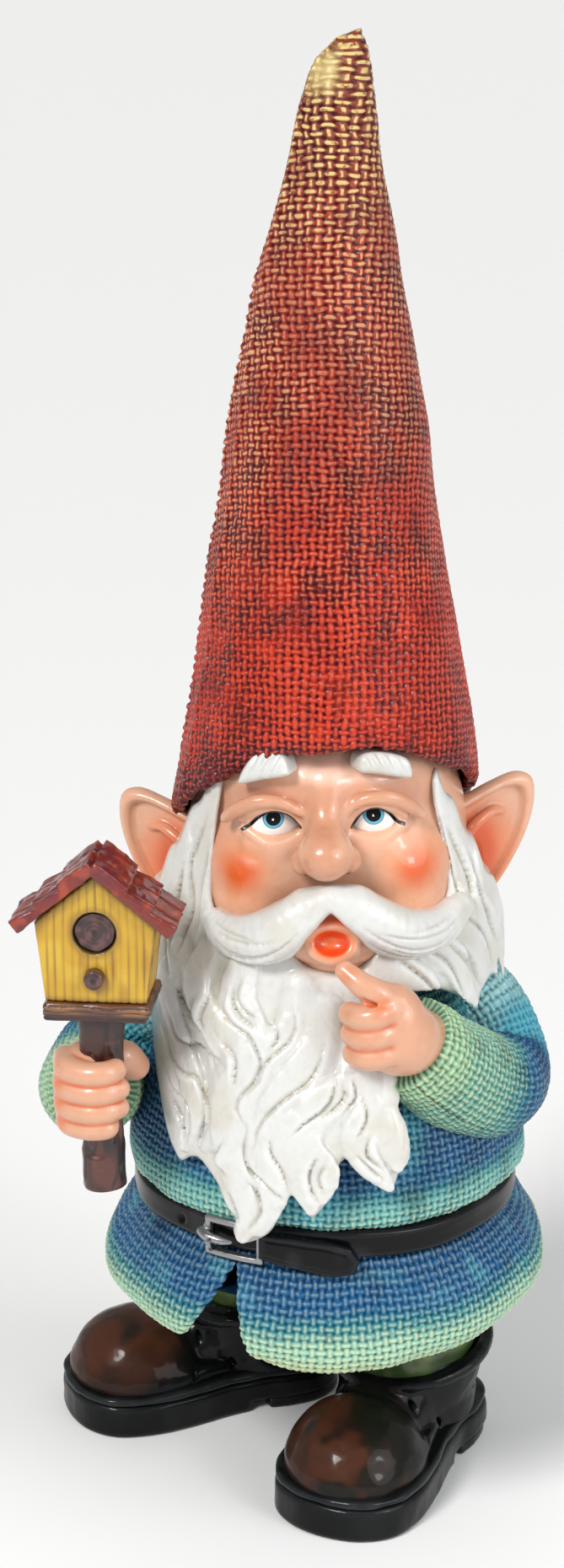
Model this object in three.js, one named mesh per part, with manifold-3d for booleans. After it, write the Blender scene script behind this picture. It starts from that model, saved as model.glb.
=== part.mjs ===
// A cast garden gnome, 400 mm tall. It holds a birdhouse on a post in one fist and points at its chin
// with the other hand. Millimetres, +Z up, and the face looks along -Y. Each painted piece is a solid.
import * as THREE from "three";
import { mergeVertices } from "three/addons/utils/BufferGeometryUtils.js";
import Module from "manifold-3d";

const wasm = await Module();
wasm.setup();

// ---- Driving dimensions -------------------------------------------------------------------------

const HEIGHT = 400; // soles to the tip of the hat
const GAP = 0.3; // clearance between neighbouring pieces

const HEAD = { x: 0, y: 0, z: 196, rx: 37.5, ry: 35.5, rz: 41 };
const HAT = { brimZ: 203.5, brimR: 40.5, slope: 0.54, roll: 0.12, tipX: 4.8 };
const HEAD_ROLL = 0.05; // the head leans a little to its right, so its left side is higher
const EYE = { x: 12.6, y: -28, z: 203.2, r: 6.4 };
const BELT = { z: 93, height: 7, r: 50.6, thickness: 2.2 };
const SKIRT = { top: 89, hem: 60, wall: 5, ceiling: 80, climb: 5.5 };
const FRONT_TURN = THREE.MathUtils.degToRad(27); // how far the coat's opening is turned to its right
const SLEEVE_R = 14;
const POST = { x: -58.4, y: -45, r: 5.3, bottom: 107.4, top: 158 };
const HOUSE = { turn: -0.1, depth: 18, board: 5, bottom: 25.6, top: 30.8, eaves: 184.5, apex: 197.4 };
const ROOF = { halfSpan: 18.8, thickness: 3.4, depth: 24, courses: 4 };
const BOOT = { length: 85, width: 44, sole: 10, welt: 2, shaftR: 22, rimR: 25, rimZ: 34.5, rimTilt: 0.12 };
const LEFT_FOOT = { x: 16.8, y: -2, turn: THREE.MathUtils.degToRad(25) };
const RIGHT_FOOT = { x: -36.5, y: 42, turn: THREE.MathUtils.degToRad(68) };

const SIDES = 26; // facets around the large round pieces
const FINE = 10; // facets around the small ones

// ---- Paint --------------------------------------------------------------------------------------

function paint(color, roughness, metalness = 0) {
  return new THREE.MeshStandardMaterial({ color, roughness, metalness });
}

const MATERIALS = {
  hat: paint(0xa8352a, 0.45),
  skin: paint(0xe3a17c, 0.35),
  hair: paint(0xf1efe9, 0.4),
  eye: paint(0xf6f6f4, 0.2),
  lip: paint(0xe8603c, 0.35),
  coat: paint(0x3f6f93, 0.55),
  leather: paint(0x17171a, 0.3),
  metal: paint(0xb4b2ac, 0.3, 0.9),
  trousers: paint(0x5a7431, 0.5),
  boot: paint(0x241a18, 0.25),
  yellow: paint(0xd0b032, 0.4),
  roof: paint(0x8d2f28, 0.4),
  bark: paint(0x5a3328, 0.5),
};

// ---- Solids -------------------------------------------------------------------------------------

const V = (x, y, z) => new THREE.Vector3(x, y, z);

// A geometry as a solid that can be cut and joined.
function solidOf(geometry) {
  const bare = geometry.clone();
  bare.deleteAttribute("normal");
  bare.deleteAttribute("uv");
  const merged = mergeVertices(bare, 1e-4);
  const vertProperties = Float32Array.from(merged.attributes.position.array);
  const triVerts = Uint32Array.from(merged.index.array);
  return new wasm.Manifold(new wasm.Mesh({ numProp: 3, vertProperties, triVerts }));
}

// The largest body of a solid as a geometry: what a cut leaves behind as crumbs is dropped.
function geometryOf(solid) {
  const bodies = solid.decompose().sort((a, b) => b.volume() - a.volume());
  const mesh = bodies[0].getMesh();
  const geometry = new THREE.BufferGeometry();
  geometry.setAttribute("position", new THREE.BufferAttribute(Float32Array.from(mesh.vertProperties), 3));
  geometry.setIndex(new THREE.BufferAttribute(Uint32Array.from(mesh.triVerts), 1));
  geometry.computeVertexNormals();
  return geometry;
}

const cut = (solid, ...tools) => tools.reduce((left, tool) => left.subtract(tool), solid);
const join = (...solids) => solids.reduce((sum, solid) => sum.add(solid));

// A closed skin over rings of points. Each ring runs anticlockwise seen from the last ring.
function skin(rings) {
  const count = rings[0].length;
  const points = rings.flat();
  const middle = (ring) => ring.reduce((sum, p) => sum.add(p), V(0, 0, 0)).divideScalar(count);
  points.push(middle(rings[0]), middle(rings[rings.length - 1]));
  const [low, high] = [points.length - 2, points.length - 1];
  const faces = [];
  for (let i = 0; i < count; i++) {
    const j = (i + 1) % count;
    faces.push(low, j, i);
    for (let k = 0; k + 1 < rings.length; k++) {
      const [a, b] = [k * count, (k + 1) * count];
      faces.push(a + i, a + j, b + j, a + i, b + j, b + i);
    }
    const last = (rings.length - 1) * count;
    faces.push(high, last + i, last + j);
  }
  return solidOf(new THREE.BufferGeometry().setFromPoints(points).setIndex(faces));
}

// Horizontal ellipses stacked up Z. A level is [z, rx, ry] or [z, rx, ry, x, y], and lift raises points.
function stack(levels, { grow = 0, sides = SIDES, lift = () => 0 } = {}) {
  return skin(
    levels.map((level, k) => {
      const [z, rx, ry, x = 0, y = 0] = level;
      const end = k === 0 ? -grow : k === levels.length - 1 ? grow : 0;
      return Array.from({ length: sides }, (_, i) => {
        const angle = (2 * Math.PI * i) / sides;
        const [c, s] = [Math.cos(angle), Math.sin(angle)];
        return V(x + (rx + grow) * c, y + (ry + grow) * s, z + end + lift(angle, level));
      });
    }),
  );
}

// A round limb along a curve through [x, y, z, radius] points, with domed ends.
function limb(points, { grow = 0, sides = FINE, steps = 8, flat = 1 } = {}) {
  const curve = new THREE.CatmullRomCurve3(points.map(([x, y, z]) => V(x, y, z)));
  const radii = points.map((p) => p[3] + grow);
  const frames = curve.computeFrenetFrames(steps);
  const rings = [];
  const ring = (centre, k, radius) => {
    const [n, b] = [frames.normals[k], frames.binormals[k]];
    return Array.from({ length: sides }, (_, i) => {
      const angle = (2 * Math.PI * i) / sides;
      return centre
        .clone()
        .addScaledVector(n, radius * flat * Math.cos(angle))
        .addScaledVector(b, radius * Math.sin(angle));
    });
  };
  const dome = (k, sign) =>
    [0.94, 0.55].map((turn) => {
      const radius = radiusAt(k / steps);
      const centre = curve.getPoint(k / steps);
      centre.addScaledVector(frames.tangents[k], sign * radius * Math.sin(turn));
      return ring(centre, k, radius * Math.cos(turn));
    });
  const radiusAt = (t) => {
    const place = Math.min(t * (radii.length - 1), radii.length - 1.001);
    const k = Math.floor(place);
    return THREE.MathUtils.lerp(radii[k], radii[k + 1], place - k);
  };
  rings.push(...dome(0, -1));
  for (let k = 0; k <= steps; k++) rings.push(ring(curve.getPoint(k / steps), k, radiusAt(k / steps)));
  rings.push(...dome(steps, 1).reverse());
  return skin(rings);
}

function ellipsoid(x, y, z, rx, ry, rz, { grow = 0, sides = 20, turn = 0 } = {}) {
  const sphere = new THREE.SphereGeometry(1, sides, Math.round(sides * 0.6));
  sphere.scale(rx + grow, ry + grow, rz + grow).rotateZ(turn).translate(x, y, z);
  return solidOf(sphere);
}

// A box from its lowest to its highest corner.
function block(low, high) {
  const box = new THREE.BoxGeometry(...high.map((v, k) => v - low[k]));
  return solidOf(box.translate(...high.map((v, k) => (v + low[k]) / 2)));
}

// An outline in X and Z, extruded along +Y from one depth to another.
function plate(outline, fromY, toY) {
  const shape = new THREE.Shape(outline.map(([x, z]) => new THREE.Vector2(x, z)));
  const made = new THREE.ExtrudeGeometry(shape, { depth: toY - fromY, bevelEnabled: false });
  return solidOf(made.rotateX(Math.PI / 2).translate(0, toY, 0));
}

// A solid turned about the upright axis through (x, y).
function turned(solid, angle, x = 0, y = 0) {
  const degrees = THREE.MathUtils.radToDeg(angle);
  return solid.translate([-x, -y, 0]).rotate([0, 0, degrees]).translate([x, y, 0]);
}

// ---- The scene ----------------------------------------------------------------------------------

const gnome = new THREE.Group();
gnome.name = "garden_gnome";

function add(name, material, solid) {
  const mesh = new THREE.Mesh(geometryOf(solid), MATERIALS[material]);
  mesh.name = name;
  gnome.add(mesh);
}

// Left and right are the figure's own, so its left side is at +X.
const SIDE = { left: 1, right: -1 };

// ---- Head and face ------------------------------------------------------------------------------

function skull(grow = 0) {
  return ellipsoid(HEAD.x, HEAD.y, HEAD.z, HEAD.rx, HEAD.ry, HEAD.rz, { grow, sides: 20 });
}

function head(grow = 0) {
  const nose = ellipsoid(0, -42, 199, 8.8, 11, 7.6, { grow, sides: 12 });
  const cheeks = [-1, 1].map((s) => ellipsoid(s * 16, -20, 190, 16, 17, 14, { grow, sides: 12 }));
  const chin = ellipsoid(0, -31, 172, 13, 13, 10, { grow, sides: 10 });
  const neck = stack([[150, 22, 22, 0, 4], [170, 24, 24, 0, 4]], { grow, sides: 12 });
  return join(skull(grow), nose, ...cheeks, chin, neck);
}

function eyeball(s, grow = 0) {
  return ellipsoid(s * EYE.x - 1.4, EYE.y, EYE.z, EYE.r, EYE.r, EYE.r, { grow, sides: 12 });
}

function eyebrow(s, grow = 0) {
  const raise = s * 20 * HEAD_ROLL;
  const inner = [s * 9.5 - 1.2, -38, 217.6 + raise, 2.8];
  const middle = [s * 15.5 - 1.2, -37, 219 + raise, 3.6];
  const outer = [s * 21.5 - 1.2, -33, 214.6 + raise, 2.4];
  return limb([inner, middle, outer], { grow, steps: 5 });
}

function ear(s, grow = 0) {
  const outline = new THREE.Shape();
  outline.moveTo(-2, -13);
  outline.bezierCurveTo(5, -14, 13, -2, 17, 12);
  outline.bezierCurveTo(19, 19, 15, 21, 9, 19);
  outline.bezierCurveTo(3, 17, -2, 14, -5, 12);
  outline.closePath();
  const bevel = 1.4;
  const leaf = new THREE.ExtrudeGeometry(outline, {
    depth: 3.4,
    bevelThickness: bevel + grow,
    bevelSize: bevel + grow,
    bevelSegments: 1,
    curveSegments: 6,
  });
  leaf.rotateX(Math.PI / 2).translate(0, 1.7, 0).rotateZ(0.42);
  const solid = solidOf(leaf).translate([37.5, -1, 184.5 + s * 45 * HEAD_ROLL]);
  return s > 0 ? solid : solid.mirror([1, 0, 0]);
}

function earBowl(s) {
  return ellipsoid(s * 45, -7, 185.5 + s * 45 * HEAD_ROLL, 7.5, 5.2, 11, { sides: 12, turn: s * 0.42 });
}

function lips(grow = 0) {
  return ellipsoid(1.6, -40.5, 174.5, 9, 6.4, 7.4, { grow, sides: 14 });
}

const mouthHollow = () => ellipsoid(1.8, -47.5, 177.6, 4.6, 4, 3.4, { sides: 10 });

function moustache(s, grow = 0) {
  const points = [
    [s * 3.6, -46.5, 187, 4.4],
    [s * 13, -45.5, 181.5, 8],
    [s * 24, -38, 177, 8],
    [s * 33, -26.5, 181, 3.4],
  ];
  return limb(points, { grow, sides: 10, steps: 6, flat: 0.9 });
}

// ---- Hat ----------------------------------------------------------------------------------------

function hat(grow = 0) {
  // The brim's plane climbs to the forehead, and the cone straightens above it.
  const lift = (angle, [z, r]) => {
    const share = THREE.MathUtils.clamp((300 - z) / (300 - HAT.brimZ), 0, 1);
    return share * r * (HAT.roll * Math.cos(angle) - HAT.slope * Math.sin(angle));
  };
  const levels = [
    [HAT.brimZ, HAT.brimR, HAT.brimR],
    [212, 39.8, 39.8],
    [234, 35.9, 35.9],
    [258, 31.8, 31.8],
    [280, 28.1, 28.1],
    [302, 25.2, 25],
    [323, 21.4, 21.4],
    [344, 17.1, 17.1],
    [365, 12.3, 12.3, 1.2, 0],
    [384, 9, 9, 2.2, 0],
    [394, 6, 6, 3.4, 0],
    [HEIGHT - 0.6, 2.4, 2.4, HAT.tipX, 0],
    [HEIGHT, 1, 1, HAT.tipX, 0],
  ];
  return stack(levels, { grow, lift, sides: 24 });
}

// ---- Coat ---------------------------------------------------------------------------------------

const COAT_LEVELS = [
  [90.5, 47.5, 47.5],
  [97.6, 50.5, 50.5],
  [99.5, 53.2, 53.2],
  [106, 54, 53],
  [116, 52.5, 51],
  [128, 49, 47],
  [140, 44, 41],
  [150, 37, 34, 0, 2],
  [158, 28, 27, 0, 4],
];
const coatBody = (grow = 0) => stack(COAT_LEVELS, { grow });

// The hem hangs lowest in front and climbs towards the sides.
function hemLift(angle, [z]) {
  const share = THREE.MathUtils.clamp((SKIRT.ceiling - z) / (SKIRT.ceiling - SKIRT.hem), 0, 1);
  return SKIRT.climb * share * (Math.cos(angle) ** 2 + 0.6 * Math.max(0, Math.sin(angle)) ** 2);
}

function skirtOutside(grow = 0) {
  const levels = [
    [SKIRT.hem, 56.5, 56.5],
    [62.5, 59.6, 59.6],
    [69, 61.8, 61.8],
    [76, 59.5, 59.5],
    [84, 54.6, 54.6],
    [SKIRT.top, 50.4, 50.4],
  ];
  return stack(levels, { grow, sides: 32, lift: hemLift });
}

function coatSkirt() {
  const inner = [
    [SKIRT.hem - 1, 56.5 - SKIRT.wall, 56.5 - SKIRT.wall],
    [69, 61 - SKIRT.wall, 61 - SKIRT.wall],
    [SKIRT.ceiling, 52 - SKIRT.wall, 52 - SKIRT.wall],
  ];
  const slit = plate([[-13, SKIRT.hem - 2], [7, SKIRT.hem - 2], [0.8, 87.5], [-0.8, 87.5]], -75, -40);
  return cut(skirtOutside(), stack(inner, { sides: 32, lift: hemLift }), turned(slit, -FRONT_TURN));
}

const sleevePoints = {
  left: [
    [37, -1, 145, 11],
    [48.5, -5, 126, SLEEVE_R],
    [39, -28, 133, SLEEVE_R],
    [24.5, -46, 148.5, SLEEVE_R - 1.5],
  ],
  right: [
    [-38, 8, 141, 11],
    [-59, 6, 126, SLEEVE_R],
    [-64, -10, 122, SLEEVE_R],
    [-61.5, -30, 131.5, SLEEVE_R - 1.5],
  ],
};
const sleeve = (side, grow = 0) => limb(sleevePoints[side], { grow, sides: 14, steps: 8 });

// ---- Belt ---------------------------------------------------------------------------------------

function beltBand(low, high, inside, outside) {
  const ring = (r) => stack([[low, r, r], [high, r, r]], { sides: 40 });
  const bore = stack([[low - 1, inside, inside], [high + 1, inside, inside]], { sides: 40 });
  return cut(ring(outside), bore);
}

const beltOutside = BELT.r + BELT.thickness;
const belt = () => beltBand(BELT.z - BELT.height / 2, BELT.z + BELT.height / 2, BELT.r, beltOutside);

// A strip of the belt's curve, between two angles left of the coat's opening, as wide as it is told.
function wrap(outline, thickness, offset) {
  const around = beltOutside + offset;
  const band = beltBand(BELT.z - 12, BELT.z + 12, around, around + thickness);
  return band.intersect(turned(plate(outline, -90, -20), -FRONT_TURN));
}

function buckleFrame() {
  const [half, tall, bar] = [8, 5.3, 1.6];
  const rectangle = (w, h) => [[-w, BELT.z - h], [w, BELT.z - h], [w, BELT.z + h], [-w, BELT.z + h]];
  return cut(
    wrap(rectangle(half, tall), 2, GAP),
    turned(plate(rectangle(half - bar, tall - bar), -90, -20), -FRONT_TURN),
  );
}

function buckleProng() {
  const [low, high] = [BELT.z - 0.9, BELT.z + 0.9];
  return wrap([[-9.2, low], [-1, low], [-1, high], [-9.2, high]], 1.5, 2 + 2 * GAP);
}

function beltTail() {
  const outline = new THREE.Shape();
  outline.moveTo(8.5, BELT.z - 3.4);
  outline.lineTo(27, BELT.z - 6.6);
  outline.absarc(28, BELT.z - 2.6, 4, -Math.PI / 2, Math.PI / 2, false);
  outline.lineTo(8.5, BELT.z + 3.6);
  const points = outline.getPoints(4).map((p) => [p.x, p.y]);
  return wrap(points, 2, GAP);
}

// ---- Hands --------------------------------------------------------------------------------------

// The fist round the post: a palm, and four fingers that cross in front of it.
function fist(grow = 0) {
  const palm = ellipsoid(-62.8, -43, 138, 7.2, 10.5, 11, { grow, sides: 14 });
  const wrist = limb([[-62.5, -24, 131, 8.5], [-62.5, -38, 136, 8.5]], { grow, steps: 2 });
  const thumbPoints = [
    [-58, -33, 142, 4],
    [-51, -36, 143, 3.6],
    [-49.4, -42, 141.5, 3],
  ];
  const thumb = limb(thumbPoints, { grow, steps: 3 });
  const fingers = [144.6, 138.9, 133.3, 128.2].map((z, k) => {
    const reach = [0, 1, 0.8, -1.4][k];
    const points = [
      [-67, -45, z, 3.1],
      [-64.5, -52.2, z, 3.2],
      [-59, -54.2, z + 0.2, 3.1],
      [-54.2 + reach, -51.5, z + 0.4, 2.8],
    ];
    return limb(points, { grow, sides: 8, steps: 4 });
  });
  return join(palm, wrist, thumb, ...fingers);
}

// The hand at the chin: three curled fingers and one that points up to the lower lip.
function pointingHand(grow = 0) {
  const back = ellipsoid(15.5, -54, 157, 8.6, 8.5, 10.6, { grow, sides: 14, turn: -0.5 });
  const wrist = limb([[25, -44, 148, 8.5], [19, -50, 153, 9]], { grow, steps: 2 });
  const indexPoints = [
    [13.5, -57, 164.4, 4.2],
    [9, -57.6, 168, 3.8],
    [4.4, -55, 171, 3.2],
  ];
  const index = limb(indexPoints, { grow, steps: 3 });
  const curled = [160, 154.6, 149.6].map((z, k) => {
    const points = [
      [13 + k * 0.6, -60, z, 3.5],
      [8 + k * 0.4, -59.5, z - 0.6, 3.4],
      [5.6 + k * 0.4, -55.6, z - 0.8, 3.1],
    ];
    return limb(points, { grow, sides: 8, steps: 3 });
  });
  return join(back, wrist, index, ...curled);
}

// ---- Beard --------------------------------------------------------------------------------------

// The outer surface of the hair, from the cheeks down over the belly.
const BEARD_LEVELS = [
  [98, 56, 62, 0, -2],
  [118, 53.5, 60.5, 0, -2],
  [140, 50.5, 55.5, 0, 0],
  [165, 48.5, 48.5, 0, 0],
  [182, 46, 43, 0, 1],
  [208, 39.5, 38, 0, 2],
];
const BEARD_OUTLINE = [
  [37, 207],
  [44, 196],
  [47.5, 176],
  [48.5, 158],
  [41, 147],
  [24, 138],
  [19.5, 121],
  [17, 112.5],
  [10, 121],
  [2, 114.5],
  [-3.5, 105],
  [-13, 112],
  [-21.5, 99.5],
  [-31, 106],
  [-38, 117],
  [-42.5, 127],
  [-46, 135],
  [-46.5, 150],
  [-44, 165],
  [-46, 180],
  [-43, 196],
  [-36, 206],
  [-30.5, 197],
  [-28, 186],
  [-16, 180],
  [16, 180],
  [28, 186],
  [31.5, 197],
];
const beardMass = () => stack(BEARD_LEVELS, { sides: 24 }).intersect(plate(BEARD_OUTLINE, -80, 4));

// The hair round the back of the head, from behind the ears and under the hat's brim.
function backHair() {
  const levels = [
    [156, 36, 34, 0, 6],
    [170, 39.5, 38.5, 0, 2],
    [188, 38.5, 38, 0, 0],
  ];
  return stack(levels, { sides: 20 }).intersect(block([-50, 5, 140], [50, 60, 230]));
}

// ---- Birdhouse ----------------------------------------------------------------------------------

const atHouse = (solid) => turned(solid.translate([POST.x + 0.3, POST.y, 0]), HOUSE.turn, POST.x, POST.y);
const FLOOR_TOP = POST.top + GAP + HOUSE.board;

const post = (grow = 0) =>
  stack(
    [
      [POST.bottom, POST.r - 0.6, POST.r - 0.6, POST.x, POST.y],
      [POST.bottom + 1.5, POST.r, POST.r, POST.x, POST.y],
      [POST.top, POST.r + 0.5, POST.r + 0.5, POST.x, POST.y],
    ],
    { grow, sides: 12 },
  );

function houseBoard(grow = 0) {
  const [w, d] = [13.8 + grow, HOUSE.depth / 2 + 1.6 + grow];
  return atHouse(block([-w, -d, POST.top + GAP - grow], [w, d, FLOOR_TOP + grow]));
}

function houseWalls(grow = 0) {
  const [low, high] = [HOUSE.bottom / 2 + grow, HOUSE.top / 2 + grow];
  const outline = [
    [-low, FLOOR_TOP + GAP],
    [low, FLOOR_TOP + GAP],
    [high, HOUSE.eaves],
    [0, HOUSE.apex + grow],
    [-high, HOUSE.eaves],
  ];
  return atHouse(plate(outline, -HOUSE.depth / 2 - grow, HOUSE.depth / 2 + grow));
}

// A round peg or hole that stands out of the front wall.
function frontDisc(radius, z, fromY, toY) {
  const disc = new THREE.CylinderGeometry(radius, radius, toY - fromY, 16);
  return atHouse(solidOf(disc.translate(0, (fromY + toY) / 2, z)));
}

// One slope of the roof, with a step at the lower edge of each course of shingles.
function roofSlope(s, grow = 0) {
  const fall = Math.atan2(HOUSE.apex - HOUSE.eaves, HOUSE.top / 2);
  const length = ROOF.halfSpan / Math.cos(fall);
  const outline = [[0, GAP - grow]];
  outline.push([length, GAP - grow]);
  for (let k = ROOF.courses; k > 0; k--) {
    outline.push([(length * k) / ROOF.courses, ROOF.thickness + grow]);
    outline.push([(length * (k - 1)) / ROOF.courses, ROOF.thickness - 1.1 + grow]);
  }
  const half = ROOF.depth / 2 + grow;
  const slab = plate(outline, -half, half)
    .rotate([0, THREE.MathUtils.radToDeg(fall), 0])
    .translate([GAP / 2, 0, HOUSE.apex + GAP]);
  const own = slab.intersect(block([GAP / 2, -40, 150], [60, 40, 220]));
  return atHouse(s > 0 ? own : own.mirror([1, 0, 0]));
}

// ---- Legs and boots -----------------------------------------------------------------------------

// Puts a solid made with its toe along -Y at the origin onto one foot.
function atFoot(foot, solid) {
  return turned(solid, -foot.turn).translate([foot.x, foot.y, 0]);
}

// The sole's outline seen from above, wide and round at the toe and narrower at the heel.
function soleOutline(inset) {
  const [half, long] = [BOOT.width / 2 - inset, BOOT.length / 2 - inset];
  const outline = new THREE.Shape();
  outline.moveTo(0, -long);
  for (const [side, from, to] of [[1, -1, 1], [-1, 1, -1]]) {
    const w = side * half;
    outline.bezierCurveTo(w * 0.72, from * long, w, from * long * 0.74, w, from * long * 0.42);
    outline.bezierCurveTo(w, from * long * 0.1, w * 0.94, 0, w, to * long * 0.5);
    outline.bezierCurveTo(w, to * long * 0.84, w * 0.66, to * long, 0, to * long);
  }
  return outline;
}

function slab(outline, low, high) {
  const depth = high - low;
  const made = new THREE.ExtrudeGeometry(outline, { depth, bevelEnabled: false, curveSegments: 6 });
  return solidOf(made.translate(0, 0, low));
}

const HEEL_FRONT = 15; // where the heel starts, behind the middle of the foot
const ARCH = 6; // length of the arch in front of the heel
const SHANK = 3.4; // height of the arch above the ground

function soleSolid() {
  const arch = block([-40, HEEL_FRONT - ARCH, -1], [40, 60, SHANK]);
  return cut(slab(soleOutline(0), 0, BOOT.sole), arch);
}

function heelSolid() {
  return slab(soleOutline(0.4), 0, SHANK - GAP).intersect(block([-40, HEEL_FRONT, -1], [40, 60, SHANK]));
}

const weltSolid = () => slab(soleOutline(1.6), BOOT.sole + GAP, BOOT.sole + BOOT.welt);

function bootUpper() {
  const base = BOOT.sole + BOOT.welt + GAP;
  const toe = ellipsoid(0, -21, base, 20.4, 20.2, 17, { sides: 16 });
  const instep = limb([[0, -14, base + 2, 13.5], [0, 6, base + 7, 17]], { sides: 12, steps: 2 });
  const rear = 18;
  const lift = (angle, [z]) => (z > BOOT.rimZ - 5 ? BOOT.rimTilt * BOOT.rimR * Math.sin(angle) : 0);
  const levels = [
    [base, 17.5, 20.5, 0, rear],
    [base + 7, 19, 21, 0, rear],
    [base + 13, 18.6, 20, 0, rear],
    [BOOT.rimZ - 4, BOOT.shaftR, BOOT.shaftR, 0, rear],
    [BOOT.rimZ - 2, BOOT.rimR, BOOT.rimR, 0, rear],
    [BOOT.rimZ, BOOT.rimR - 0.6, BOOT.rimR - 0.6, 0, rear],
  ];
  const shaft = stack(levels, { sides: 18, lift });
  const floor = block([-60, -60, base], [60, 60, 90]);
  return join(toe, instep, shaft).intersect(floor);
}

// For each leg: the middle and radius where it enters the boot, and the middle and radius under the skirt.
const LEG = { left: [23, 12, 17.5, 20, 8, 18], right: [-20.5, 47, 15.5, -17, 31, 15.4] };

function trouserLeg(side, grow = 0) {
  const [x, y, r, topX, topY, topR] = LEG[side];
  const levels = [
    [BOOT.rimZ - 9, r - 1, r - 1, x, y],
    [BOOT.rimZ, r + 1, r + 1, x, y],
    [BOOT.rimZ + 8, r + 1.5, r + 1.5, x * 0.85 + topX * 0.15, y * 0.7 + topY * 0.3],
    [SKIRT.hem, topR, topR, topX, topY],
    [SKIRT.ceiling - GAP, topR, topR, topX * 0.8, topY * 0.8],
  ];
  return stack(levels, { grow, sides: 18 });
}

// ---- Assembly -----------------------------------------------------------------------------------

add("hat", "hat", cut(hat(), skull(GAP), eyebrow(1, GAP), eyebrow(-1, GAP)));
add("head", "skin", cut(head(), eyeball(1, GAP), eyeball(-1, GAP), lips(GAP), coatBody(GAP)));
add("lips", "lip", cut(lips(), mouthHollow()));

for (const [side, s] of Object.entries(SIDE)) {
  add(`${side}_eye`, "eye", eyeball(s));
  add(`${side}_eyebrow`, "hair", cut(eyebrow(s), head(GAP)));
  add(`${side}_ear`, "skin", cut(ear(s), earBowl(s), head(GAP), hat(GAP)));
  add(`${side}_moustache`, "hair", cut(moustache(s), head(GAP), lips(GAP), moustache(-s, GAP)));
}

const hands = [fist(GAP), pointingHand(GAP)];
const sleeves = [sleeve("left", GAP), sleeve("right", GAP)];
const house = [houseWalls(GAP), houseBoard(GAP), roofSlope(1, GAP), roofSlope(-1, GAP), post(GAP)];
const ears = [ear(1, GAP), ear(-1, GAP)];
const around = [head(GAP), ...ears, hat(GAP), coatBody(GAP)];
const whiskers = [lips(GAP), moustache(1, GAP), moustache(-1, GAP)];
add("beard", "hair", cut(beardMass(), ...around, ...whiskers, ...hands, ...sleeves, ...house));

add("back_hair", "hair", cut(backHair(), ...around, ...sleeves));

add("coat_body", "coat", coatBody());
add("coat_skirt", "coat", coatSkirt());
for (const side of Object.keys(SIDE)) {
  add(`${side}_sleeve`, "coat", cut(sleeve(side), coatBody(GAP), ...hands, ...house));
}
add("right_hand", "skin", cut(fist(), post(GAP)));
add("left_hand", "skin", cut(pointingHand(), head(GAP), lips(GAP)));

add("belt", "leather", belt());
add("belt_tail", "leather", beltTail());
add("buckle_frame", "metal", buckleFrame());
add("buckle_prong", "metal", buckleProng());

add("birdhouse_post", "bark", post());
add("birdhouse_floor", "bark", houseBoard());
const frontY = -HOUSE.depth / 2;
const [HOLE_R, HOLE_Z, HOLE_DEPTH, PERCH_R, PERCH_Z] = [5.2, 182, 2.4, 2.4, 170.4];
const hole = frontDisc(HOLE_R, HOLE_Z, frontY - 1, frontY + HOLE_DEPTH);
const perchSocket = frontDisc(PERCH_R + GAP, PERCH_Z, frontY - 1, frontY + 3);
add("birdhouse_walls", "yellow", cut(houseWalls(), hole, perchSocket));
add("birdhouse_doorway", "bark", frontDisc(HOLE_R - GAP, HOLE_Z, frontY + 1, frontY + HOLE_DEPTH - GAP));
add("birdhouse_perch", "bark", frontDisc(PERCH_R, PERCH_Z, frontY - 3.4, frontY + 3 - GAP));
add("birdhouse_roof_left", "roof", roofSlope(1));
add("birdhouse_roof_right", "roof", roofSlope(-1));

const FEET = { left: LEFT_FOOT, right: RIGHT_FOOT };
for (const [side, foot] of Object.entries(FEET)) {
  add(`${side}_boot_sole`, "boot", atFoot(foot, soleSolid()));
  add(`${side}_boot_heel`, "boot", atFoot(foot, heelSolid()));
  add(`${side}_boot_welt`, "boot", atFoot(foot, weltSolid()));
  add(`${side}_boot_upper`, "boot", cut(atFoot(foot, bootUpper()), trouserLeg(side, GAP)));
  add(`${side}_trouser_leg`, "trousers", trouserLeg(side));
}

// The origin is on the ground, under the middle of the whole figure.
const extent = new THREE.Box3().setFromObject(gnome);
const middle = extent.getCenter(V(0, 0, 0));
gnome.position.set(-middle.x, -middle.y, -extent.min.z);

export default gnome;
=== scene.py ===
"""A painted garden gnome, 400 mm tall, that stands with a birdhouse on a post in its right fist.

Every piece is modelled in millimetres in the figure's own coordinates: the hat, head and coat share
the upright axis x = y = 0, the face looks along -Y, and the soles stand on z = 0. piece() scales them
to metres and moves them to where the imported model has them.
"""
import math

import bpy
import numpy as np
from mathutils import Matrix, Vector


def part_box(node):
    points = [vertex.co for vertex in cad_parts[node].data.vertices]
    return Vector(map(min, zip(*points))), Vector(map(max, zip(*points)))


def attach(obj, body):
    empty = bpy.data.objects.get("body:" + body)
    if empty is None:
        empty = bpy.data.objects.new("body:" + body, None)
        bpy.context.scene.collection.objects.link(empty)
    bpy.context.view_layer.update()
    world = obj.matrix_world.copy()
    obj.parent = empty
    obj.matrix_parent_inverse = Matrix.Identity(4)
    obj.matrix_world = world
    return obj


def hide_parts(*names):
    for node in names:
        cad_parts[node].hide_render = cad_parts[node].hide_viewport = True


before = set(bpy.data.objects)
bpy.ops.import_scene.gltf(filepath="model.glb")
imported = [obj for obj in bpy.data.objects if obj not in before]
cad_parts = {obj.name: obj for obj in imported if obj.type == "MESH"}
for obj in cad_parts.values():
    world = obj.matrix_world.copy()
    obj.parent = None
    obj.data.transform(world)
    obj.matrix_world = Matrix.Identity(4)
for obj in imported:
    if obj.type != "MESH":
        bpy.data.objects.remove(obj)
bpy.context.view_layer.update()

POST_X, POST_Y = -58.4, -45.0
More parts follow.
